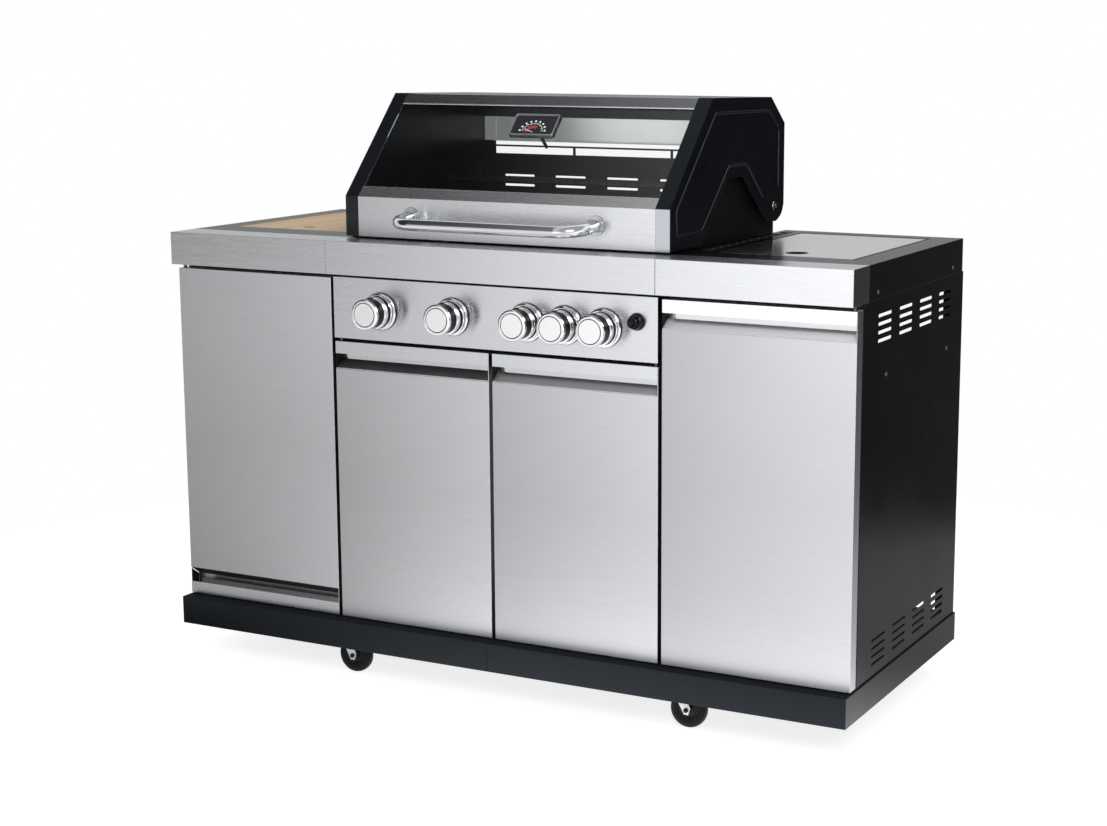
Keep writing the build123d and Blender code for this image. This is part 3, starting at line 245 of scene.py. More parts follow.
def brushed_steel(
    name, colour, roughness, spread, smear, contrast=0.04, sheet_shade=0.0, grip=None, crown=0.0, **values
):
    """Stainless sheet with hairlines along X, cloudy gloss, painted shade in its gaps and inner corners,
    and softened edges; it can also paint shade across a sheet, and light or shade on a finger recess.
    """
    finish = Finish(name, colour, 1.0, roughness, Anisotropic=smear, **values)
    hairline = finish.noise(HAIRLINES, 2.0)
    streak = finish.noise(STREAKS, 3.0)
    cloud = finish.noise(STEEL_CLOUDS, 2.0)
    lines = finish.blended(hairline, 0.6, streak)
    dark, light = scaled(colour, 1 - contrast), scaled(colour, 1 + contrast)
    shade = finish.tint(finish.ranged(lines, 0.0, 1.0, 0.36, 0.64), dark, light)
    # Painted shade across the sheet: darker to the left and half-way up
    if sheet_shade:
        shade = finish.painted_sheet_shade(shade, sheet_shade)
    # Painted shade, or painted light, on the faces of the finger recess
    if grip:
        shade = finish.painted_recess_shade(shade, *grip)
    # Painted shade in gaps and inner corners
    finish.painted_crevice_shade(shade, CREVICE_SHADE_REACH)
    gloss = finish.blended(lines, 0.75, cloud)
    finish.rough(finish.ranged(gloss, roughness - spread, roughness + spread, 0.35, 0.65))
    if crown:
        finish.crowned(crown)
    else:
        finish.rounded(SHEET_EDGE)
    finish.bump(lines, 0.012, HAIRLINE_DEPTH)
    finish.brushed_along((1.0, 0.0, 0.0))
    return finish.material


def painted(name, colour, roughness, grain, peel=0.03, edge=SHEET_EDGE, matt=False, **values):
    """Powder coat: a fine orange peel, with slight clouds in its gloss."""
    finish = Finish(name, colour, 0.0, roughness, **values)
    dimples = finish.noise((grain, grain, grain), 2.0)
    cloud = finish.noise(PAINT_CLOUDS, 3.0)
    finish.tint(finish.ranged(cloud, 0.0, 1.0), scaled(colour, 0.85), scaled(colour, 1.15))
    gloss = finish.ranged(cloud, roughness - 0.04, roughness + 0.04)
    finish.rough(finish.matt_tops(gloss) if matt else gloss)
    finish.rounded(edge)
    finish.bump(dimples, peel, SKIN_DEPTH)
    return finish.material


def polished(name, colour, roughness):
    """Plated metal with faint wipe marks."""
    finish = Finish(name, colour, 1.0, roughness)
    wipe = finish.noise(WIPE_MARKS, 3.0)
    finish.tint(finish.ranged(wipe, 0.0, 1.0), scaled(colour, 0.96), scaled(colour, 1.02))
    finish.rough(finish.ranged(wipe, roughness * 0.8, roughness * 1.2))
    finish.rounded(PLATED_EDGE)
    return finish.material


def cast(name, colour, roughness, metallic):
    """Rough cast or zinc-plated metal with a mottled skin."""
    finish = Finish(name, colour, metallic, roughness)
    skin = finish.noise(CAST_SKIN, 4.0)
    mottle = finish.noise(CAST_MOTTLE, 3.0)
    finish.tint(finish.ranged(mottle, 0.0, 1.0), scaled(colour, 0.8), scaled(colour, 1.25))
    finish.rough(finish.ranged(skin, roughness - 0.10, roughness + 0.10))
    finish.rounded(CAST_EDGE)
    finish.bump(skin, 0.25, CAST_DEPTH)
    return finish.material


def moulded(name, colour, roughness, grain, **values):
    """Rubber or plastic with a fine moulded grain."""
    finish = Finish(name, colour, 0.0, roughness, **values)
    skin = finish.noise((grain, grain, grain), 3.0)
    finish.tint(finish.ranged(skin, 0.0, 1.0), scaled(colour, 0.85), scaled(colour, 1.2))
    finish.rough(finish.ranged(skin, roughness - 0.06, roughness + 0.06))
    finish.bump(skin, 0.12, SKIN_DEPTH)
    return finish.material


def board_wood():
    """Glued strips of pale bamboo with fine fibres along the board's depth."""
    finish = Finish("board_wood", (0.46, 0.32, 0.18), 0.0, 0.48)
    strips = finish.add("ShaderNodeTexVoronoi", feature="F1", voronoi_dimensions="1D")
    strips.inputs["Scale"].default_value = WOOD_STRIPS
    finish.link(finish.axes("ShaderNodeTexCoord", "Object")["X"], strips.inputs["W"])
    shade = finish.add("ShaderNodeSeparateColor")
    finish.link(strips.outputs["Color"], shade.inputs["Color"])
    fibre = finish.noise(WOOD_FIBRES, 4.0)
    mixed = finish.blended(shade.outputs["Red"], 0.45, fibre)
    finish.tint(finish.ranged(mixed, 0.0, 1.0, 0.15, 0.85), (0.36, 0.235, 0.118), (0.50, 0.36, 0.21))
    finish.rough(finish.ranged(fibre, 0.42, 0.56))
    finish.rounded(BOARD_EDGE)
    finish.bump(fibre, 0.12, SKIN_DEPTH)
    return finish.material


def glazing():
    """Clear heat-proof glass that lets lamps light the inside."""
    finish = Finish("hood_glazing", (0.97, 0.99, 0.98), 0.0, 0.02, Transmission_Weight=1.0, IOR=1.45)
    smudge = finish.noise(GLASS_SMUDGES, 3.0)
    finish.rough(finish.ranged(smudge, 0.0, 0.006))
    clear = finish.add("ShaderNodeBsdfTransparent")
    path = finish.add("ShaderNodeLightPath")
    lamp = finish.combined("MAXIMUM", path.outputs["Is Shadow Ray"], path.outputs["Is Diffuse Ray"])
    mix = finish.add("ShaderNodeMixShader")
    finish.link(lamp, mix.inputs[0])
    finish.link(finish.shader.outputs["BSDF"], mix.inputs[1])
    finish.link(clear.outputs["BSDF"], mix.inputs[2])
    finish.link(mix.outputs["Shader"], finish.output.inputs["Surface"])
    return finish.material


STAINLESS = (0.60, 0.61, 0.63)
DOOR_STEEL = (0.67, 0.68, 0.70)
# How dull the upward faces of each door's finger recess are, and how much painted shade (below one) or
# painted light (above one) falls on them
DOOR_RECESS_SHADES = {
    "left": (0.0, 1.0),
    "centre_left": (0.05, 0.45),
    "centre_right": (0.50, 0.86),
    "right": (1.0, 1.28),
}
# Lit and shaded copies of one door steel: painted shade across each sheet, and painted light or shade in
# each finger recess
door_steels = {}
for side, grip in DOOR_RECESS_SHADES.items():
    door_steels[f"door_{side}"] = brushed_steel(
        f"door_steel_{side}", DOOR_STEEL, 0.38, 0.05, 0.60, sheet_shade=0.20, grip=grip
    )
front_steel = brushed_steel("front_steel", (0.64, 0.65, 0.67), 0.27, 0.04, 0.65, contrast=0.025)
# Painted shade: the left pull's steel, a slightly darker copy of the front steel with its upward faces
# shaded
shaded_pull_steel = brushed_steel(
    "shaded_pull_steel", (0.60, 0.61, 0.63), 0.27, 0.04, 0.65, contrast=0.025, grip=(0.0, 0.40)
)
# Painted light: the right pull's steel, made much paler than the same steel on the other pulls
lit_pull_steel = brushed_steel("lit_pull_steel", (0.84, 0.85, 0.86), 0.27, 0.04, 0.65, contrast=0.025)
# Painted shade: the hood trims' steel, made far darker than the same steel on the front
shaded_trim_steel = brushed_steel("shaded_trim_steel", (0.29, 0.30, 0.32), 0.14, 0.03, 0.30, contrast=0.02, crown=0.16)
# Painted shade: the top bar's steel, made far darker than the same steel on the front
shaded_bar_steel = brushed_steel("shaded_bar_steel", (0.25, 0.26, 0.28), 0.27, 0.04, 0.65, contrast=0.025)
# Painted reflection: the worktops' steel, darkened in colour and edge tint to stand for the dark
# reflections on them
shaded_top_steel = brushed_steel(
    "shaded_top_steel", (0.30, 0.31, 0.32), 0.18, 0.03, 0.85, contrast=0.02, Specular_Tint=(0.48, 0.48, 0.49, 1)
)
lid_steel = brushed_steel("lid_steel", (0.80, 0.81, 0.82), 0.16, 0.03, 0.85, contrast=0.02)
inner_steel = brushed_steel("inner_steel", STAINLESS, 0.55, 0.05, 0.40)
dark_chrome = polished("dark_chrome", (0.10, 0.10, 0.11), 0.30)
# Painted light: the hood's back sheet and its wings, paler than the other steel and glowing a little
# though they are no lamp
glowing_back_steel = brushed_steel(
    "glowing_back_steel",
    (0.74, 0.75, 0.76),
    0.30,
    0.02,
    0.40,
    contrast=0.015,
    Emission_Color=(0.96, 0.98, 1.0, 1),
    Emission_Strength=0.15,
)
tube_steel = brushed_steel("tube_steel", (0.62, 0.63, 0.65), 0.15, 0.02, 0.0, contrast=0.015)
PAINT = (0.0035, 0.0042, 0.0065)
SHEEN = {"Specular_IOR_Level": 0.26, "Specular_Tint": (0.80, 0.92, 1.0, 1)}
black_paint = painted("black_paint", PAINT, 0.27, 1600.0, edge=0.0018, **SHEEN)
plinth_paint = painted("plinth_paint", PAINT, 0.27, 1600.0, edge=0.0018, matt=True, **SHEEN)
bead_paint = painted("bead_paint", (0.007, 0.008, 0.011), 0.20, 1600.0, Specular_IOR_Level=0.60)
oven_black = painted("oven_black", (0.0030, 0.0032, 0.0040), 0.45, 2200.0, 0.0, Specular_IOR_Level=0.14)
chrome = polished("chrome", (0.80, 0.81, 0.83), 0.10)
rim_chrome = polished("rim_chrome", (0.36, 0.37, 0.38), 0.22)
satin_face = polished("satin_face", (0.86, 0.87, 0.88), 0.32)
dark_line = moulded("dark_line", (0.006, 0.006, 0.007), 0.45, 900.0, Specular_IOR_Level=0.20)
zinc_plate = cast("zinc_plate", (0.80, 0.81, 0.82), 0.38, 0.4)
tyre_rubber = moulded("tyre_rubber", (0.004, 0.0045, 0.006), 0.50, 700.0, Specular_IOR_Level=0.15)
hub_plastic = moulded("hub_plastic", (0.010, 0.010, 0.012), 0.35, 500.0, Specular_IOR_Level=0.30)
cast_iron = cast("cast_iron", (0.018, 0.018, 0.019), 0.55, 0.0)
manifold_metal = cast("manifold_metal", (0.58, 0.57, 0.54), 0.34, 1.0)
button_plastic = moulded("button_plastic", (0.004, 0.004, 0.005), 0.22, 600.0, Specular_IOR_Level=0.16)
wood = board_wood()
glass = glazing()

FINISHES = {
    **door_steels,
    "pull_left": shaded_pull_steel,
    "pull_centre_left pull_centre_right": front_steel,
    "pull_right": lit_pull_steel,
    "fascia_left fascia_centre fascia_right control_panel hood_front": front_steel,
    "hood_top_bar": shaded_bar_steel,
    "hood_trims": shaded_trim_steel,
    "worktop_left worktop_right": shaded_top_steel,
    "burner_lid": lid_steel,
    "burners flame_tamers grease_tray": inner_steel,
    "warming_rack": dark_chrome,
    "hood_back": glowing_back_steel,
    "hood_handle": tube_steel,
    "plinth_left plinth_right": plinth_paint,
    "side_panel_left side_panel_right end_panels hood_side_left hood_side_right": black_paint,
    "partition_left partition_right cross_rails hood_roof": black_paint,
    "firebox": oven_black,
    "cooking_grates pan_support": cast_iron,
    "side_burner": manifold_metal,
    "gas_manifold": manifold_metal,
    "door_pins": dark_chrome,
    "igniter_button": button_plastic,
    "cutting_board": wood,
    "hood_glass": glass,
    "caster_plates caster_fork_front_left caster_fork_front_right": zinc_plate,
    "caster_fork_rear_left caster_fork_rear_right": zinc_plate,
    "caster_wheel_front_left caster_wheel_front_right": tyre_rubber,
    "caster_wheel_rear_left caster_wheel_rear_right": tyre_rubber,
    "bezels knob_1 knob_2 knob_3 knob_4 knob_5 thermometer": chrome,
}
for names, material in FINISHES.items():
    for name in names.split():
        mesh = nodes[name].data
        mesh.materials.clear()
        mesh.materials.append(material)


# Pieces with more detail than the solids carry
def piece(name, shape, materials, body, sharp=32.0):
    """Turns a shape into a piece that rides on a body, smooth except at its sharp edges."""
    bmesh.ops.recalc_face_normals(shape, faces=shape.faces)
    limit = math.radians(sharp)
    for edge in shape.edges:
        edge.smooth = len(edge.link_faces) == 2 and edge.calc_face_angle() < limit
    for face in shape.faces:
        face.smooth = True
    mesh = bpy.data.meshes.new(name)
    shape.to_mesh(mesh)
    shape.free()
    for material in materials:
        mesh.materials.append(material)
    made = bpy.data.objects.new(name, mesh)
    scene.collection.objects.link(made)
    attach(made, body)
    return made


def skin(shape, rings, finishes):
    """Joins neighbouring rings of points with faces; a ring of one point closes an end."""
    for one, other, finish in zip(rings, rings[1:], finishes):
        count = max(len(one), len(other))
        for step in range(count):
            after = (step + 1) % count
            corners = [one[step % len(one)], one[after % len(one)]]
            corners += [other[after % len(other)], other[step % len(other)]]
            face = shape.faces.new(list(dict.fromkeys(corners)))
            face.material_index = finish


def turn(shape, profile, place, segments=72, closed=False):
    """Adds a turned form from (radius, height, finish) points in millimetres about the place's Z axis."""
    rings = []
    for radius, height, _ in profile:
        if radius == 0:
            rings.append([shape.verts.new(place @ Vector((0, 0, height * MM)))])
            continue
        ring = []
        reach = radius * MM
        for step in range(segments):
            angle = math.tau * step / segments
            spot = Vector((reach * math.cos(angle), reach * math.sin(angle), height * MM))
            ring.append(shape.verts.new(place @ spot))
        rings.append(ring)
    finishes = [point[2] for point in profile[1:]]
    if closed:
        rings.append(rings[0])
        finishes.append(profile[0][2])
    skin(shape, rings, finishes)


def rounded_loop(half_width, half_height, radius, corner_steps=8):
    """Corner-rounded rectangle as a ring of points in millimetres."""
    points = []
    for quarter, (side, up) in enumerate(((1, 1), (-1, 1), (-1, -1), (1, -1))):
        for step in range(corner_steps + 1):
            angle = math.radians(90 * quarter + 90 * step / corner_steps)
            points.append(
                (
                    side * (half_width - radius) + radius * math.cos(angle),
                    up * (half_height - radius) + radius * math.sin(angle),
                )
            )
    return points


def stack(shape, levels, place):
    """Adds a form lofted through rounded rectangles: (half width, half height, radius, height, finish)."""
    rings = []
    for half_width, half_height, radius, height, _ in levels:
        if half_width == 0:
            rings.append([shape.verts.new(place @ Vector((0, 0, height * MM)))])
            continue
        ring = [
            shape.verts.new(place @ Vector((u * MM, v * MM, height * MM)))
            for u, v in rounded_loop(half_width, half_height, radius)
        ]
        rings.append(ring)
    skin(shape, rings, [level[4] for level in levels[1:]])


def bar(shape, start, end, width, low, high, place, finish):
    """Adds a flat bar between two points of the place's XY plane, in millimetres."""
    along = (Vector(end) - Vector(start)).normalized()
    off = Vector((-along.y, along.x)) * width / 2
    outline = [Vector(start) - off, Vector(end) - off, Vector(end) + off, Vector(start) + off]
    rings = []
    for height in (low, high):
        rings.append([shape.verts.new(place @ Vector((p.x * MM, p.y * MM, height * MM))) for p in outline])
    skin(shape, rings, [finish])
    for ring in rings:
        shape.faces.new(ring).material_index = finish


def ribbon(shape, path, width, height, place, finish):
    """Adds a low half-round bead along a path in the place's XY plane, in millimetres."""
    points = [Vector(point) for point in path]
    rings = []
    for index, point in enumerate(points):
        before = (point - points[index - 1]).normalized() if index else None
        after = (points[index + 1] - point).normalized() if index + 1 < len(points) else None
        ways = [way for way in (before, after) if way is not None]
        normals = [Vector((-way.y, way.x)) for way in ways]
        mitre = sum(normals, Vector((0, 0))).normalized()
        reach = width / 2 / max(0.35, mitre.dot(normals[0]))
        ring = []
        for across, lift in ((-1, 0.0), (-0.7, 0.62), (-0.3, 0.95), (0.3, 0.95), (0.7, 0.62), (1, 0.0)):
            spot = point + mitre * (across * reach)
            ring.append(shape.verts.new(place @ Vector((spot.x * MM, spot.y * MM, lift * height * MM))))
        rings.append(ring)
    skin(shape, rings, [finish] * len(rings))
    for ring in (rings[0], rings[-1]):
        shape.faces.new(ring).material_index = finish


def eased_corners(path, radius, steps=6):
    """Rounds the corners of an open path."""
    points = [Vector(point) for point in path]
    eased = [points[0]]
    for before, corner, after in zip(points, points[1:], points[2:]):
        start = corner + (before - corner).normalized() * radius
        end = corner + (after - corner).normalized() * radius
        for step in range(steps + 1):
            share = step / steps
            eased.append((1 - share) ** 2 * start + 2 * share * (1 - share) * corner + share**2 * end)
    eased.append(points[-1])
    return eased


def rod(shape, start, radius, length, segments):
    """Adds a round rod along X from a start point in metres; its radius and length are in millimetres."""
    x, y, z = start
    place = Matrix(((0, 0, 1, x), (1, 0, 0, y), (0, 1, 0, z), (0, 0, 0, 1)))
    turn(shape, ((0, 0, 0), (radius, 0, 0), (radius, length, 0), (0, length, 0)), place, segments)


def upright(x, y, z):
    """A place with unturned axes, at a point in millimetres."""
    return Matrix.Translation((x * MM, y * MM, z * MM))


def facing(x, y, z):
    """A place whose Z axis points to the front."""
    turned = Matrix(((1, 0, 0), (0, 0, -1), (0, 1, 0))).to_4x4()
    return upright(x, y, z) @ turned


def sideways(x, side):
    """A place in a YZ plane, measured from the floor, whose Z axis points out to one side."""
    turned = Matrix(((0, 0, side), (1, 0, 0), (0, 1, 0))).to_4x4()
    return Matrix.Translation((x * MM, 0, 0)) @ turned


# Knobs, bezels and igniter on the control panel
PANEL_FRONT = -274.0
KNOB_HEIGHT = 771.0
KNOB_PLACES = (-250.5, -83.5, 83.5, 167.0, 250.5)
CHROME, SATIN, BLACK, LINE = range(4)
KNOB_PROFILE = (
    (0, 59.3, SATIN),
    (22.8, 59.3, SATIN),
    (23.1, 58.5, LINE),
    (24.3, 58.5, LINE),
    (24.6, 59.5, SATIN),
    (27.6, 59.8, SATIN),
    (29.3, 59.2, CHROME),
    (30.2, 58.0, CHROME),
    (30.5, 56.4, CHROME),
    (30.5, 53.6, CHROME),
    (29.9, 53.0, BLACK),
    (29.4, 52.4, BLACK),
    (29.2, 46.0, BLACK),
    (29.2, 35.0, BLACK),
    (29.6, 31.8, BLACK),
    (30.4, 31.4, CHROME),
    (31.6, 30.2, CHROME),
    (32.0, 28.2, CHROME),
    (32.0, 22.4, CHROME),
    # Painted shade: the skirt's low band is black, so that the panel beside each knob reflects dark there
    (31.2, 21.8, BLACK),
    (31.0, 15.8, BLACK),
    (0, 15.3, BLACK),
)
BEZEL_PROFILE = (
    (12.0, 0.0, CHROME),
    (12.0, 14.6, CHROME),
    (33.6, 14.9, CHROME),
    (34.5, 14.0, CHROME),
    (34.5, 10.8, CHROME),
    (33.8, 10.2, LINE),
    (33.8, 7.0, LINE),
    (35.8, 6.4, CHROME),
    (36.9, 5.2, CHROME),
    (37.5, 3.6, CHROME),
    # Painted shade: the outer flank is black, so that the panel beside each bezel reflects dark there
    (37.5, 0.0, LINE),
)
knob_finishes = [chrome, satin_face, button_plastic, dark_line]
for number, x in enumerate(KNOB_PLACES, 1):
    shape = bmesh.new()
    turn(shape, KNOB_PROFILE, facing(x, PANEL_FRONT, KNOB_HEIGHT), 96)
    knob = piece(f"knob_{number}_turned", shape, knob_finishes, f"knob_{number}")
    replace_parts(knob, f"knob_{number}")

IGNITER = (320.0, 787.0)
COLLAR_PROFILE = (
    (10.4, 0.0, BLACK),
    (10.4, 14.2, BLACK),
    (10.9, 14.9, BLACK),
    (12.4, 14.9, BLACK),
    (13.1, 14.2, BLACK),
    (13.6, 9.5, BLACK),
    (14.6, 6.0, BLACK),
    (16.0, 3.6, BLACK),
    (16.5, 2.4, BLACK),
    (16.5, 0.0, BLACK),
)
BUTTON_PROFILE = (
    (0, 22.4, 0),
    (4.5, 22.6, 0),
    (7.0, 23.4, 0),
    (8.4, 23.8, 0),
    (9.4, 23.3, 0),
    (9.9, 22.0, 0),
    (9.9, 15.0, 0),
    (5.0, 14.5, 0),
    (5.0, -16.0, 0),
    (0, -16.0, 0),
)
shape = bmesh.new()
for x in KNOB_PLACES:
    turn(shape, BEZEL_PROFILE, facing(x, PANEL_FRONT, KNOB_HEIGHT), 96, closed=True)
turn(shape, COLLAR_PROFILE, facing(IGNITER[0], PANEL_FRONT, IGNITER[1]), 64, closed=True)
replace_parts(piece("bezel_rings", shape, knob_finishes, "carcass"), "bezels")
shape = bmesh.new()
turn(shape, BUTTON_PROFILE, facing(IGNITER[0], PANEL_FRONT, IGNITER[1]), 64)
igniter_cap = piece("igniter_cap", shape, [button_plastic], "igniter_button")
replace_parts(igniter_cap, "igniter_button")

# Thermometer on the glazing: a chrome frame, a dark dial with plain marks and a stem
SLOPE_Y, SLOPE_Z = 0.68957, 0.72424
GLASS_FOOT = (-223.13, 992.17)
DIAL_X, DIAL_UP = 4.5, 191.0
dial_place = Matrix(
    (
        (1, 0, 0, DIAL_X * MM),
        (0, SLOPE_Y, -SLOPE_Z, (GLASS_FOOT[0] + DIAL_UP * SLOPE_Y) * MM),
        (0, SLOPE_Z, SLOPE_Y, (GLASS_FOOT[1] + DIAL_UP * SLOPE_Z) * MM),
        (0, 0, 0, 1),
    )
)
FRAME, DIAL, MARK, ZONE, STEM = range(5)
FRAME_LEVELS = (
    (0, 0, 0, 0.1, FRAME),
    (49.4, 26.4, 4.6, 0.1, FRAME),
    (50.3, 27.3, 5.0, 1.2, FRAME),
    (50.3, 27.3, 5.0, 10.2, FRAME),
    (49.8, 26.8, 4.8, 11.4, FRAME),
    (48.8, 25.8, 4.2, 11.8, FRAME),
    (47.6, 24.6, 3.6, 11.3, FRAME),
    (47.0, 24.0, 3.2, 9.4, FRAME),
    (0, 0, 0, 9.4, DIAL),
)
STEM_PROFILE = (
    (0, 0.0, STEM),
    (8.6, 0.0, STEM),
    (8.6, -5.0, STEM),
    (6.8, -6.0, STEM),
    (3.4, -6.4, STEM),
    (3.4, -60.0, STEM),
    (0, -61.5, STEM),
)
dial_black = moulded("dial_black", (0.016, 0.018, 0.022), 0.16, 300.0)
tick_white = moulded("tick_white", (0.75, 0.75, 0.74), 0.40, 500.0)
zone_red = moulded("zone_red", (0.34, 0.035, 0.040), 0.40, 500.0)
shape = bmesh.new()
stack(shape, FRAME_LEVELS, dial_place)
turn(shape, STEM_PROFILE, dial_place, 32)
DIAL_FOOT, DIAL_REACH = -18.0, (30.0, 29.0)
DIAL_START, DIAL_SWEEP, POINTER_ANGLE = 172, 164, 160
MARK_LOW, MARK_HIGH = 9.3, 9.6
MARK_WIDTH, TICK_WIDTH, POINTER_WIDTH, RED_WIDTH = 4.0, 1.1, 1.3, 7.0
MARK_COUNT, TICK_COUNT, RED_COUNT = 9, 25, 14
MARK_INNER, MARK_OUTER = 0.88, 1.02
TICK_LONG, TICK_SHORT, TICK_OUTER = 0.66, 0.72, 0.79
RED_SHARE, RED_STEP, RED_LAP = 0.44, 9, 10
POINTER_SHARE, POINTER_RISE = 0.64, 0.6


def on_dial(degrees, share):
    """A point of the dial at an angle and a share of the dial's reach."""
    angle = math.radians(degrees)
    across, up = DIAL_REACH
    return (across * share * math.cos(angle), DIAL_FOOT + up * share * math.sin(angle))


def mark(start, end, width, finish):
    """Adds a flat mark to the dial."""
    bar(shape, start, end, width, MARK_LOW, MARK_HIGH, dial_place, finish)


for tick in range(MARK_COUNT):
    angle = DIAL_START - tick * DIAL_SWEEP / (MARK_COUNT - 1)
    mark(on_dial(angle, MARK_INNER), on_dial(angle, MARK_OUTER), MARK_WIDTH, MARK)
for tick in range(TICK_COUNT):
    angle = DIAL_START - tick * DIAL_SWEEP / (TICK_COUNT - 1)
    inner = TICK_LONG if tick % 3 == 0 else TICK_SHORT
    mark(on_dial(angle, inner), on_dial(angle, TICK_OUTER), TICK_WIDTH, MARK)
for step in range(RED_COUNT):
    angle = DIAL_START - step * RED_STEP
    mark(on_dial(angle + RED_LAP, RED_SHARE), on_dial(angle, RED_SHARE), RED_WIDTH, ZONE)
pointer_tip = on_dial(POINTER_ANGLE, POINTER_SHARE)
pointer_high = MARK_HIGH + POINTER_RISE
bar(shape, (0.0, DIAL_FOOT), pointer_tip, POINTER_WIDTH, MARK_HIGH, pointer_high, dial_place, MARK)
HUB_PROFILE = (
    (0, MARK_HIGH + 1.4, FRAME),
    (1.6, MARK_HIGH + 1.2, FRAME),
    (2.2, MARK_HIGH + 0.6, FRAME),
    (2.2, MARK_LOW, FRAME),
)
turn(shape, HUB_PROFILE, dial_place @ upright(0, DIAL_FOOT, 0), 24)
gauge_finishes = [rim_chrome, dial_black, tick_white, zone_red, dark_line]
gauge = piece("thermometer_gauge", shape, gauge_finishes, "hood")
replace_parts(gauge, "thermometer")

# Black end caps that close the left end of each door's finger recess, as painted shade there
CAP_INSET, CAP_WIDTH = 0.1, 1.0
CAP_FORM = ((1.0, 26.0), (1.0, 53.5), (24.0, 37.0), (24.0, 2.0), (2.0, 2.0))
for name, grip in (("left", 1), ("centre_left", -1), ("centre_right", -1), ("right", -1)):
    low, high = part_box(f"door_{name}")
    end = (low if grip > 0 else high).z / MM
    shape = bmesh.new()
    rings = []
    for x in (low.x / MM + CAP_INSET, low.x / MM + CAP_WIDTH):
        corners = [Vector((x, low.y / MM + back, end + grip * rise)) * MM for back, rise in CAP_FORM]
        rings.append([shape.verts.new(corner) for corner in corners])
    skin(shape, rings, [0])
    for ring in rings:
        shape.faces.new(ring)
    piece(f"recess_shade_cap_{name}", shape, [dark_line], f"door_{name}")

# Caster wheels: a rounded tyre on a dark hub with an axle bolt, and caps on the fork's axle
TYRE, HUB, BOLT = range(3)
WHEEL_HALF = (
    (0, 11.6, BOLT),
    (2.8, 11.5, BOLT),
    (3.8, 10.9, BOLT),
    (4.0, 9.0, BOLT),
    (4.6, 8.6, HUB),
    (13.0, 8.2, HUB),
    (15.6, 9.6, HUB),
    (17.4, 10.2, HUB),
    (17.8, 9.6, HUB),
    (18.2, 10.6, TYRE),
    (21.5, 11.7, TYRE),
    (24.0, 11.9, TYRE),
    (24.6, 11.3, TYRE),
    (25.4, 11.3, TYRE),
    (26.0, 11.9, TYRE),
    (31.0, 11.4, TYRE),
    (34.6, 9.6, TYRE),
    (36.6, 7.0, TYRE),
    (37.3, 4.0, TYRE),
    (37.5, 1.2, TYRE),
)
AXLE_CAP_PROFILE = ((0, 19.6, 0), (3.2, 19.5, 0), (4.4, 18.9, 0), (4.7, 17.8, 0), (4.7, 16.0, 0))
far_half = [(radius, -height, finish) for radius, height, finish in reversed(WHEEL_HALF)]
wheel_profile = [*WHEEL_HALF, *far_half]
wheel_finishes = [tyre_rubber, hub_plastic, dark_line]
for corner in ("front_left", "front_right", "rear_left", "rear_right"):
    low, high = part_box(f"caster_wheel_{corner}")
    middle = (low + high) / 2 / MM
    shape = bmesh.new()
    turn(shape, wheel_profile, facing(*middle), 72)
    wheel = piece(f"wheel_{corner}_tyred", shape, wheel_finishes, f"caster_wheel_{corner}")
    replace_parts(wheel, f"caster_wheel_{corner}")
    shape = bmesh.new()
    for side in (-1, 1):
        cap_place = Matrix.Translation(middle * MM) @ Matrix.Rotation(side * math.pi / 2, 4, "X")
        turn(shape, AXLE_CAP_PROFILE, cap_place, 32)
    piece(f"axle_caps_{corner}", shape, [dark_line], f"caster_fork_{corner}")

# Pressed bead round each hood side, its pivot bolt, and the panel screws
HOOD_OUT, PANEL_OUT = 363.0, 755.0
BEAD_PATH = (
    (292, 1004),
    (292, 1121),
    (241, 1160),
    (-22, 1163),
    (-196, 988),
    (-192, 938),
    (-83, 941),
    (42, 1058),
    (116, 1059),
    (137, 1051),
    (211, 986),
)
BOLT_PROFILE = (
    (0, 4.4, 0),
    (2.2, 4.3, 0),
    (4.0, 3.8, 0),
    (5.2, 2.9, 0),
    (5.8, 1.6, 0),
    (6.0, 1.3, 0),
    (8.2, 1.2, 0),
    (8.8, 0.7, 0),
    (9.0, 0, 0),
)
SCREW_PROFILE = ((0, 1.5, 0), (1.4, 1.5, 0), (1.8, 2.2, 0), (3.2, 1.9, 0), (4.2, 1.0, 0), (4.5, 0.0, 0))
SCREW_PLACES = ((-117, 698), (234, 698), (-169, 856), (262, 856))
HOOD_PIVOT = (272.5, 963.5)
BEAD_ROUND, BEAD_WIDTH, BEAD_HEIGHT = 9.0, 6.0, 1.6
for name, side in (("left", -1), ("right", 1)):
    shape = bmesh.new()
    hood_place = sideways(side * HOOD_OUT, side)
    ribbon(shape, eased_corners(BEAD_PATH, BEAD_ROUND), BEAD_WIDTH, BEAD_HEIGHT, hood_place, 0)
    piece(f"hood_bead_{name}", shape, [bead_paint], "hood")
    shape = bmesh.new()
    turn(shape, BOLT_PROFILE, hood_place @ upright(*HOOD_PIVOT, 0), 40)
    piece(f"hood_bolt_{name}", shape, [chrome], "hood")
    shape = bmesh.new()
    panel_place = sideways(side * PANEL_OUT, side)
    for y, z in SCREW_PLACES:
        turn(shape, SCREW_PROFILE, panel_place @ upright(y, z, 0), 32)
    piece(f"panel_screws_{name}", shape, [dark_chrome], "carcass")

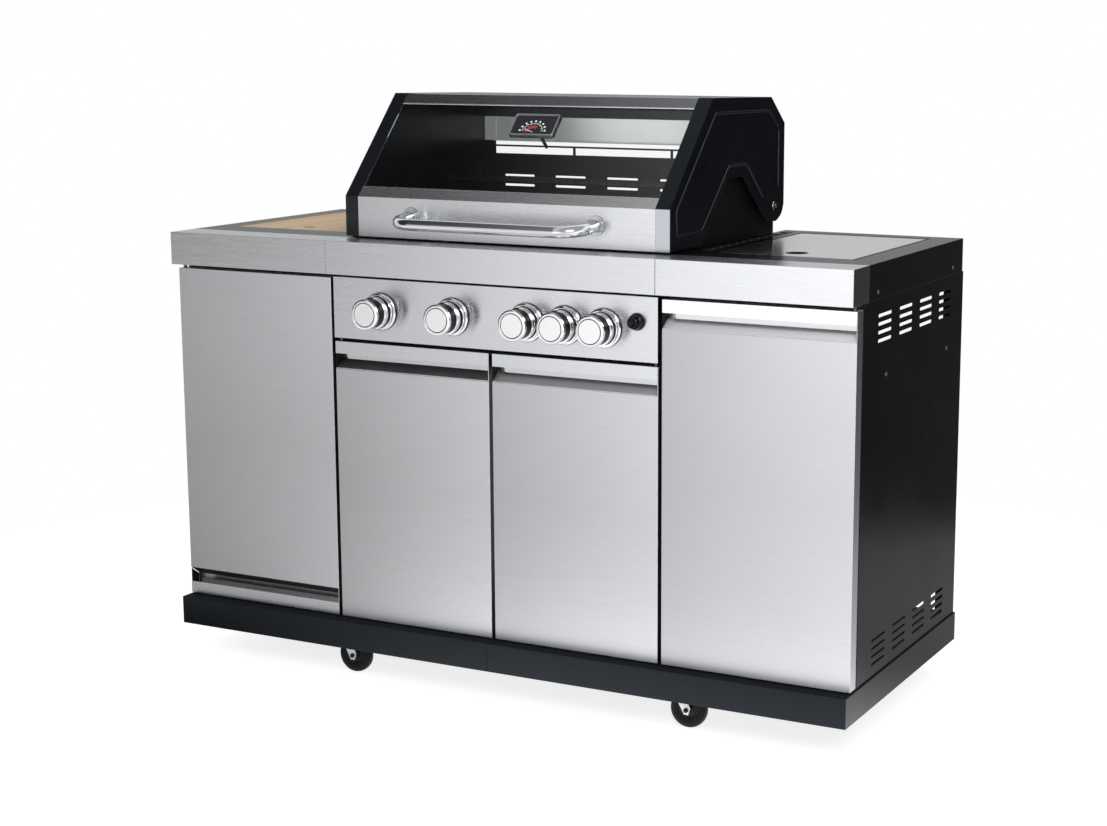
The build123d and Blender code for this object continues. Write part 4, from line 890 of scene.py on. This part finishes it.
# Louvred strip along the inner edge of each worktop: raised louvres on a thin black plate, which paints
# the worktop's dark reflection of the hood there
WORKTOP_TOP = 909.0
STRIP_X, STRIP_FRONT, STRIP_BACK, STRIP_HALF = 390.0, -125.0, 290.0, 9.5
LOUVRE_STEP, LOUVRE_COUNT = 36.0, 11
STRIP_REACH = (STRIP_BACK - STRIP_FRONT) / 2
STRIP_LEVELS = (
    (STRIP_HALF, STRIP_REACH, 2.0, 0.0, 0),
    (STRIP_HALF, STRIP_REACH, 2.0, 0.5, 0),
    (0, 0, 0, 0.5, 0),
)
LOUVRE_LEVELS = (
    (6.2, 4.0, 2.0, 0.4, 1),
    (6.2, 4.0, 2.0, 1.4, 1),
    (5.4, 3.2, 1.6, 2.2, 1),
    (0, 0, 0, 2.4, 1),
)
for name, side in (("left", -1), ("right", 1)):
    shape = bmesh.new()
    middle_y = (STRIP_FRONT + STRIP_BACK) / 2
    stack(shape, STRIP_LEVELS, upright(side * STRIP_X, middle_y, WORKTOP_TOP))
    for step in range(LOUVRE_COUNT):
        spot_y = middle_y + (step - (LOUVRE_COUNT - 1) / 2) * LOUVRE_STEP
        stack(shape, LOUVRE_LEVELS, upright(side * STRIP_X, spot_y, WORKTOP_TOP))
    piece(f"worktop_louvres_{name}", shape, [dark_line, bead_paint], "carcass")

# Painted shade round the burner lid: thin black bars on the worktop along its gap, and a black lining in
# its finger cup
LID_HALF, CUP_FRONT, CUP_RADIUS, CUP_DEPTH = 134.0, 56.0, 20.8, 10.8
SIDE_GAP, BACK_GAP = 3.0, 9.0
GAP_LOW, GAP_HIGH = -0.2, 0.4
SIDE_ROOM, FRONT_ROOM, BACK_ROOM, BACK_START = 1.6, 2.0, 5.0, 5.1
low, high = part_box("burner_lid")
lid_x = (low.x + high.x) / 2 / MM
front_y, back_y = low.y / MM, high.y / MM
flat_place = upright(lid_x, 0, WORKTOP_TOP)
shape = bmesh.new()
for side in (-1, 1):
    gap_x = side * (LID_HALF + SIDE_ROOM + SIDE_GAP / 2)
    gap_front, gap_back = (gap_x, front_y - FRONT_ROOM), (gap_x, back_y + BACK_ROOM)
    bar(shape, gap_front, gap_back, SIDE_GAP, GAP_LOW, GAP_HIGH, flat_place, 0)
gap_y = back_y + BACK_START + BACK_GAP / 2
gap_end = LID_HALF + SIDE_ROOM + SIDE_GAP
bar(shape, (-gap_end, gap_y), (gap_end, gap_y), BACK_GAP, GAP_LOW, GAP_HIGH, flat_place, 0)
piece("lid_gap_shade", shape, [dark_line], "carcass")
CUP_PROFILE = (
    (0, -CUP_DEPTH, 0),
    (CUP_RADIUS, -CUP_DEPTH, 0),
    (CUP_RADIUS, -0.2, 0),
    (CUP_RADIUS + 0.5, 0.1, 0),
    (CUP_RADIUS + 1.2, 0.0, 0),
)
shape = bmesh.new()
turn(shape, CUP_PROFILE, flat_place @ upright(0, front_y + CUP_FRONT, 0), 48)
piece("lid_cup_shade", shape, [dark_line], "burner_lid")

# Painted highlight: a thin bright rod along the fold at the foot of each upright finger recess
FOLD_RADIUS, FOLD_DROP, FOLD_INSET, FOLD_END = 0.9, 54.6, 0.3, 2.0
for name in ("centre_left", "centre_right", "right"):
    low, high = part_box(f"door_{name}")
    length = (high.x - low.x) / MM - 2 * FOLD_END
    start = (low.x + FOLD_END * MM, low.y + FOLD_INSET * MM, high.z - FOLD_DROP * MM)
    shape = bmesh.new()
    rod(shape, start, FOLD_RADIUS, length, 12)
    piece(f"door_fold_highlight_{name}", shape, [satin_face], f"door_{name}")

# Painted highlight: a thin chrome rod along the low edge of the hood's top bar; and steel wings at the
# ends of its back sheet, in its glowing steel
HEM_UP, HEM_HALF, HEM_RADIUS = 247.5, 331.5, 1.6
SLOPE_FOOT = (-224.0, 993.0)
BACK_FACE, BACK_LOW, BACK_HIGH = 320.8, 1078.5, 1131.0
WING_INNER, WING_OUTER, WING_THICKNESS = 331.0, 360.5, 0.6
hem_y, hem_z = SLOPE_FOOT[0] + HEM_UP * SLOPE_Y, SLOPE_FOOT[1] + HEM_UP * SLOPE_Z
shape = bmesh.new()
rod(shape, (-HEM_HALF * MM, hem_y * MM, hem_z * MM), HEM_RADIUS, 2 * HEM_HALF, 16)
piece("hood_bar_hem_highlight", shape, [chrome], "hood")
WING_FORM = (
    (WING_INNER, BACK_LOW),
    (WING_OUTER, BACK_LOW),
    (WING_OUTER, BACK_HIGH),
    (WING_INNER, BACK_HIGH),
)
shape = bmesh.new()
for side in (-1, 1):
    rings = []
    for y in (BACK_FACE, BACK_FACE + WING_THICKNESS):
        rings.append([shape.verts.new(Vector((side * x, y, z)) * MM) for x, z in WING_FORM])
    skin(shape, rings, [0])
    for ring in rings:
        shape.faces.new(ring)
piece("hood_back_wings", shape, [glowing_back_steel], "hood")

# Stage: each ramp is its start and end, in metres or as part of a direction, then its levels there
FLOOR_RADIUS, FLOOR_SEGMENTS = 1.9, 96
FLOOR_NEAR, FLOOR_FAR = (-0.9, 0.1, 0.0, 1.9), (-1.4, -0.2, 0.62, 0.64)
FLOOR_SPLIT, FLOOR_FADE = (-0.75, -0.50), (-0.4, 0.4, 1.0, 0.12)
FLOOR_PALE = (0.0, 1.0, 0.48, 0.22)
FLOOR_SEEN = 0.82
LEVEL_LEFT, LEVEL_RIGHT = (-0.68, -0.32, 0.10, 2.08), (-0.18, 0.22, 1.0, 0.45)
LOW_LEFT, LOW_EDGE, FRONT_END = (-0.70, -0.34, 0.85, 1.06), (-0.26, -0.16), (-0.86, -0.70, 0.2, 1.0)
OVERHEAD_LEFT, OVERHEAD_RIGHT = (-0.54, -0.36, 0.03, 0.80), (-0.28, 0.0, 1.0, 0.6)
OVERHEAD_EDGE = (-0.02, 0.30)
BACK_SIDE, BACK_EDGE, BACK_LEAN = (-0.25, 0.35, 0.60, 0.02), (-0.20, 0.40), 0.9
BAND_START, BAND_END, BAND_TOP = (-0.48, -0.28, 0.0, 0.9), (0.05, 0.25, 1.0, 0.0), (0.70, 0.90, 1.0, 0.4)
SOFT_LIGHT = 0.45


class Wires:
    """Short helpers for a node tree of the stage."""

    def __init__(self, tree):
        self.tree = tree
        tree.nodes.clear()

    def feed(self, socket, value):
        if isinstance(value, (int, float)):
            socket.default_value = value
        else:
            self.tree.links.new(value, socket)

    def math(self, operation, one, other):
        node = self.tree.nodes.new("ShaderNodeMath")
        node.operation = operation
        self.feed(node.inputs[0], one)
        self.feed(node.inputs[1], other)
        return node.outputs["Value"]

    def eased(self, value, start, end, low, high):
        node = self.tree.nodes.new("ShaderNodeMapRange")
        node.interpolation_type = "SMOOTHSTEP"
        for socket, number in (("From Min", start), ("From Max", end), ("To Min", low), ("To Max", high)):
            self.feed(node.inputs[socket], number)
        self.feed(node.inputs["Value"], value)
        return node.outputs["Result"]

    def axes(self, kind):
        coordinates = self.tree.nodes.new("ShaderNodeTexCoord")
        parts = self.tree.nodes.new("ShaderNodeSeparateXYZ")
        self.tree.links.new(coordinates.outputs[kind], parts.inputs["Vector"])
        return [parts.outputs[axis] for axis in "XYZ"]

    def paths(self):
        """What the eye sees straight or through glass, and what gloss sees."""
        path = self.tree.nodes.new("ShaderNodeLightPath")
        through = path.outputs["Is Transmission Ray"]
        turned = self.math("ADD", path.outputs["Glossy Depth"], path.outputs["Diffuse Depth"])
        straight = self.math("MULTIPLY", through, self.math("LESS_THAN", turned, 0.5))
        seen = self.math("MAXIMUM", path.outputs["Is Camera Ray"], straight)
        mirrored = self.math("MAXIMUM", path.outputs["Is Glossy Ray"], through)
        gloss = self.math("MULTIPLY", mirrored, self.math("SUBTRACT", 1.0, seen))
        return seen, gloss


def stage_floor():
    """A pale floor, white to the eye but for the object's shadow."""
    mesh = bpy.data.meshes.new("floor")
    shape = bmesh.new()
    bmesh.ops.create_circle(shape, cap_ends=True, segments=FLOOR_SEGMENTS, radius=FLOOR_RADIUS)
    shape.to_mesh(mesh)
    shape.free()
    floor = bpy.data.objects.new("floor", mesh)
    scene.collection.objects.link(floor)
    material = bpy.data.materials.new("floor_pale")
    material.use_nodes = True
    tree = material.node_tree
    wires = Wires(tree)
    diffuse = tree.nodes.new("ShaderNodeBsdfDiffuse")
    pale = tree.nodes.new("ShaderNodeCombineColor")
    glow = tree.nodes.new("ShaderNodeEmission")
    x, y, _ = wires.axes("Object")
    seen, gloss = wires.paths()
    near = wires.eased(x, *FLOOR_NEAR)
    far = wires.eased(x, *FLOOR_FAR)
    across = wires.eased(y, *FLOOR_SPLIT, far, near)
    spread = wires.math("MULTIPLY", across, wires.eased(y, *FLOOR_FADE))
    level = wires.eased(gloss, *FLOOR_PALE)
    for socket in pale.inputs:
        wires.feed(socket, level)
    tree.links.new(pale.outputs["Color"], diffuse.inputs["Color"])
    white = wires.math("MULTIPLY", seen, FLOOR_SEEN)
    strength = wires.math("ADD", white, wires.math("MULTIPLY", gloss, spread))
    wires.feed(glow.inputs["Strength"], strength)
    added = tree.nodes.new("ShaderNodeAddShader")
    tree.links.new(diffuse.outputs["BSDF"], added.inputs[0])
    tree.links.new(glow.outputs["Emission"], added.inputs[1])
    output = tree.nodes.new("ShaderNodeOutputMaterial")
    tree.links.new(added.outputs["Shader"], output.inputs["Surface"])
    mesh.materials.append(material)


def studio_world():
    """White to the eye and through glass; for gloss, a studio that is bright in front and overhead."""
    world = bpy.data.worlds.new("studio")
    scene.world = world
    world.use_nodes = True
    tree = world.node_tree
    wires = Wires(tree)
    x, y, z = wires.axes("Generated")
    level = wires.math("MULTIPLY", wires.eased(x, *LEVEL_LEFT), wires.eased(x, *LEVEL_RIGHT))
    low = wires.eased(x, *LOW_LEFT)
    front = wires.math("MULTIPLY", wires.eased(z, *LOW_EDGE, low, level), wires.eased(x, *FRONT_END))
    overhead = wires.math("MULTIPLY", wires.eased(x, *OVERHEAD_LEFT), wires.eased(x, *OVERHEAD_RIGHT))
    ahead = wires.eased(z, *OVERHEAD_EDGE, front, overhead)
    back = wires.eased(x, *BACK_SIDE)
    behind = wires.math("SUBTRACT", y, wires.math("MULTIPLY", z, BACK_LEAN))
    band = wires.math("MULTIPLY", wires.eased(behind, *BAND_START), wires.eased(behind, *BAND_END))
    band = wires.math("MULTIPLY", band, wires.eased(z, *BAND_TOP))
    lit = wires.math("ADD", wires.eased(behind, *BACK_EDGE, ahead, back), band)
    seen, gloss = wires.paths()
    soft = wires.math("SUBTRACT", 1.0, wires.math("ADD", seen, gloss))
    plain = wires.math("ADD", seen, wires.math("MULTIPLY", soft, SOFT_LIGHT))
    strength = wires.math("ADD", plain, wires.math("MULTIPLY", gloss, lit))
    background = tree.nodes.new("ShaderNodeBackground")
    background.inputs["Color"].default_value = (1.0, 1.0, 1.0, 1)
    wires.feed(background.inputs["Strength"], strength)
    output = tree.nodes.new("ShaderNodeOutputWorld")
    tree.links.new(background.outputs["Background"], output.inputs["Surface"])


def lamp(name, place, target, size, power, mirrored):
    """A soft rectangular lamp, shown in gloss or kept out of it."""
    data = bpy.data.lights.new(name, "AREA")
    data.shape = "RECTANGLE"
    data.size, data.size_y = size
    data.energy = power
    holder = bpy.data.objects.new(name, data)
    scene.collection.objects.link(holder)
    holder.location = place
    aim = Vector(target) - Vector(place)
    holder.rotation_euler = aim.to_track_quat("-Z", "Y").to_euler()
    holder.visible_glossy = mirrored
    holder.visible_transmission = mirrored


stage_floor()
studio_world()
lamp("key", (2.6, -3.4, 2.9), (0.0, 0.0, 0.6), (1.6, 1.6), 80.0, True)
lamp("fill", (-3.2, -2.6, 2.0), (0.0, 0.0, 0.6), (1.4, 1.8), 25.0, False)
lamp("overhead", (0.0, 0.4, 3.6), (0.0, 0.0, 0.9), (2.2, 1.6), 40.0, False)

# Camera at the photograph's angle
CAMERA_PLACE = (2.0057, -3.6226, 1.3206)
CAMERA_TILT, CAMERA_TURN = 79.5, 26.92
CAMERA_LENS, CAMERA_SENSOR = 66.06, 36.0
CAMERA_SHIFT = (-0.0691, -0.0055)
camera_data = bpy.data.cameras.new("camera")
camera = bpy.data.objects.new("camera", camera_data)
scene.collection.objects.link(camera)
camera.location = CAMERA_PLACE
camera.rotation_euler = (math.radians(CAMERA_TILT), 0.0, math.radians(CAMERA_TURN))
camera_data.lens = CAMERA_LENS
camera_data.sensor_width = CAMERA_SENSOR
camera_data.sensor_fit = "HORIZONTAL"
camera_data.shift_x, camera_data.shift_y = CAMERA_SHIFT
scene.camera = camera
scene.view_settings.view_transform = "Standard"
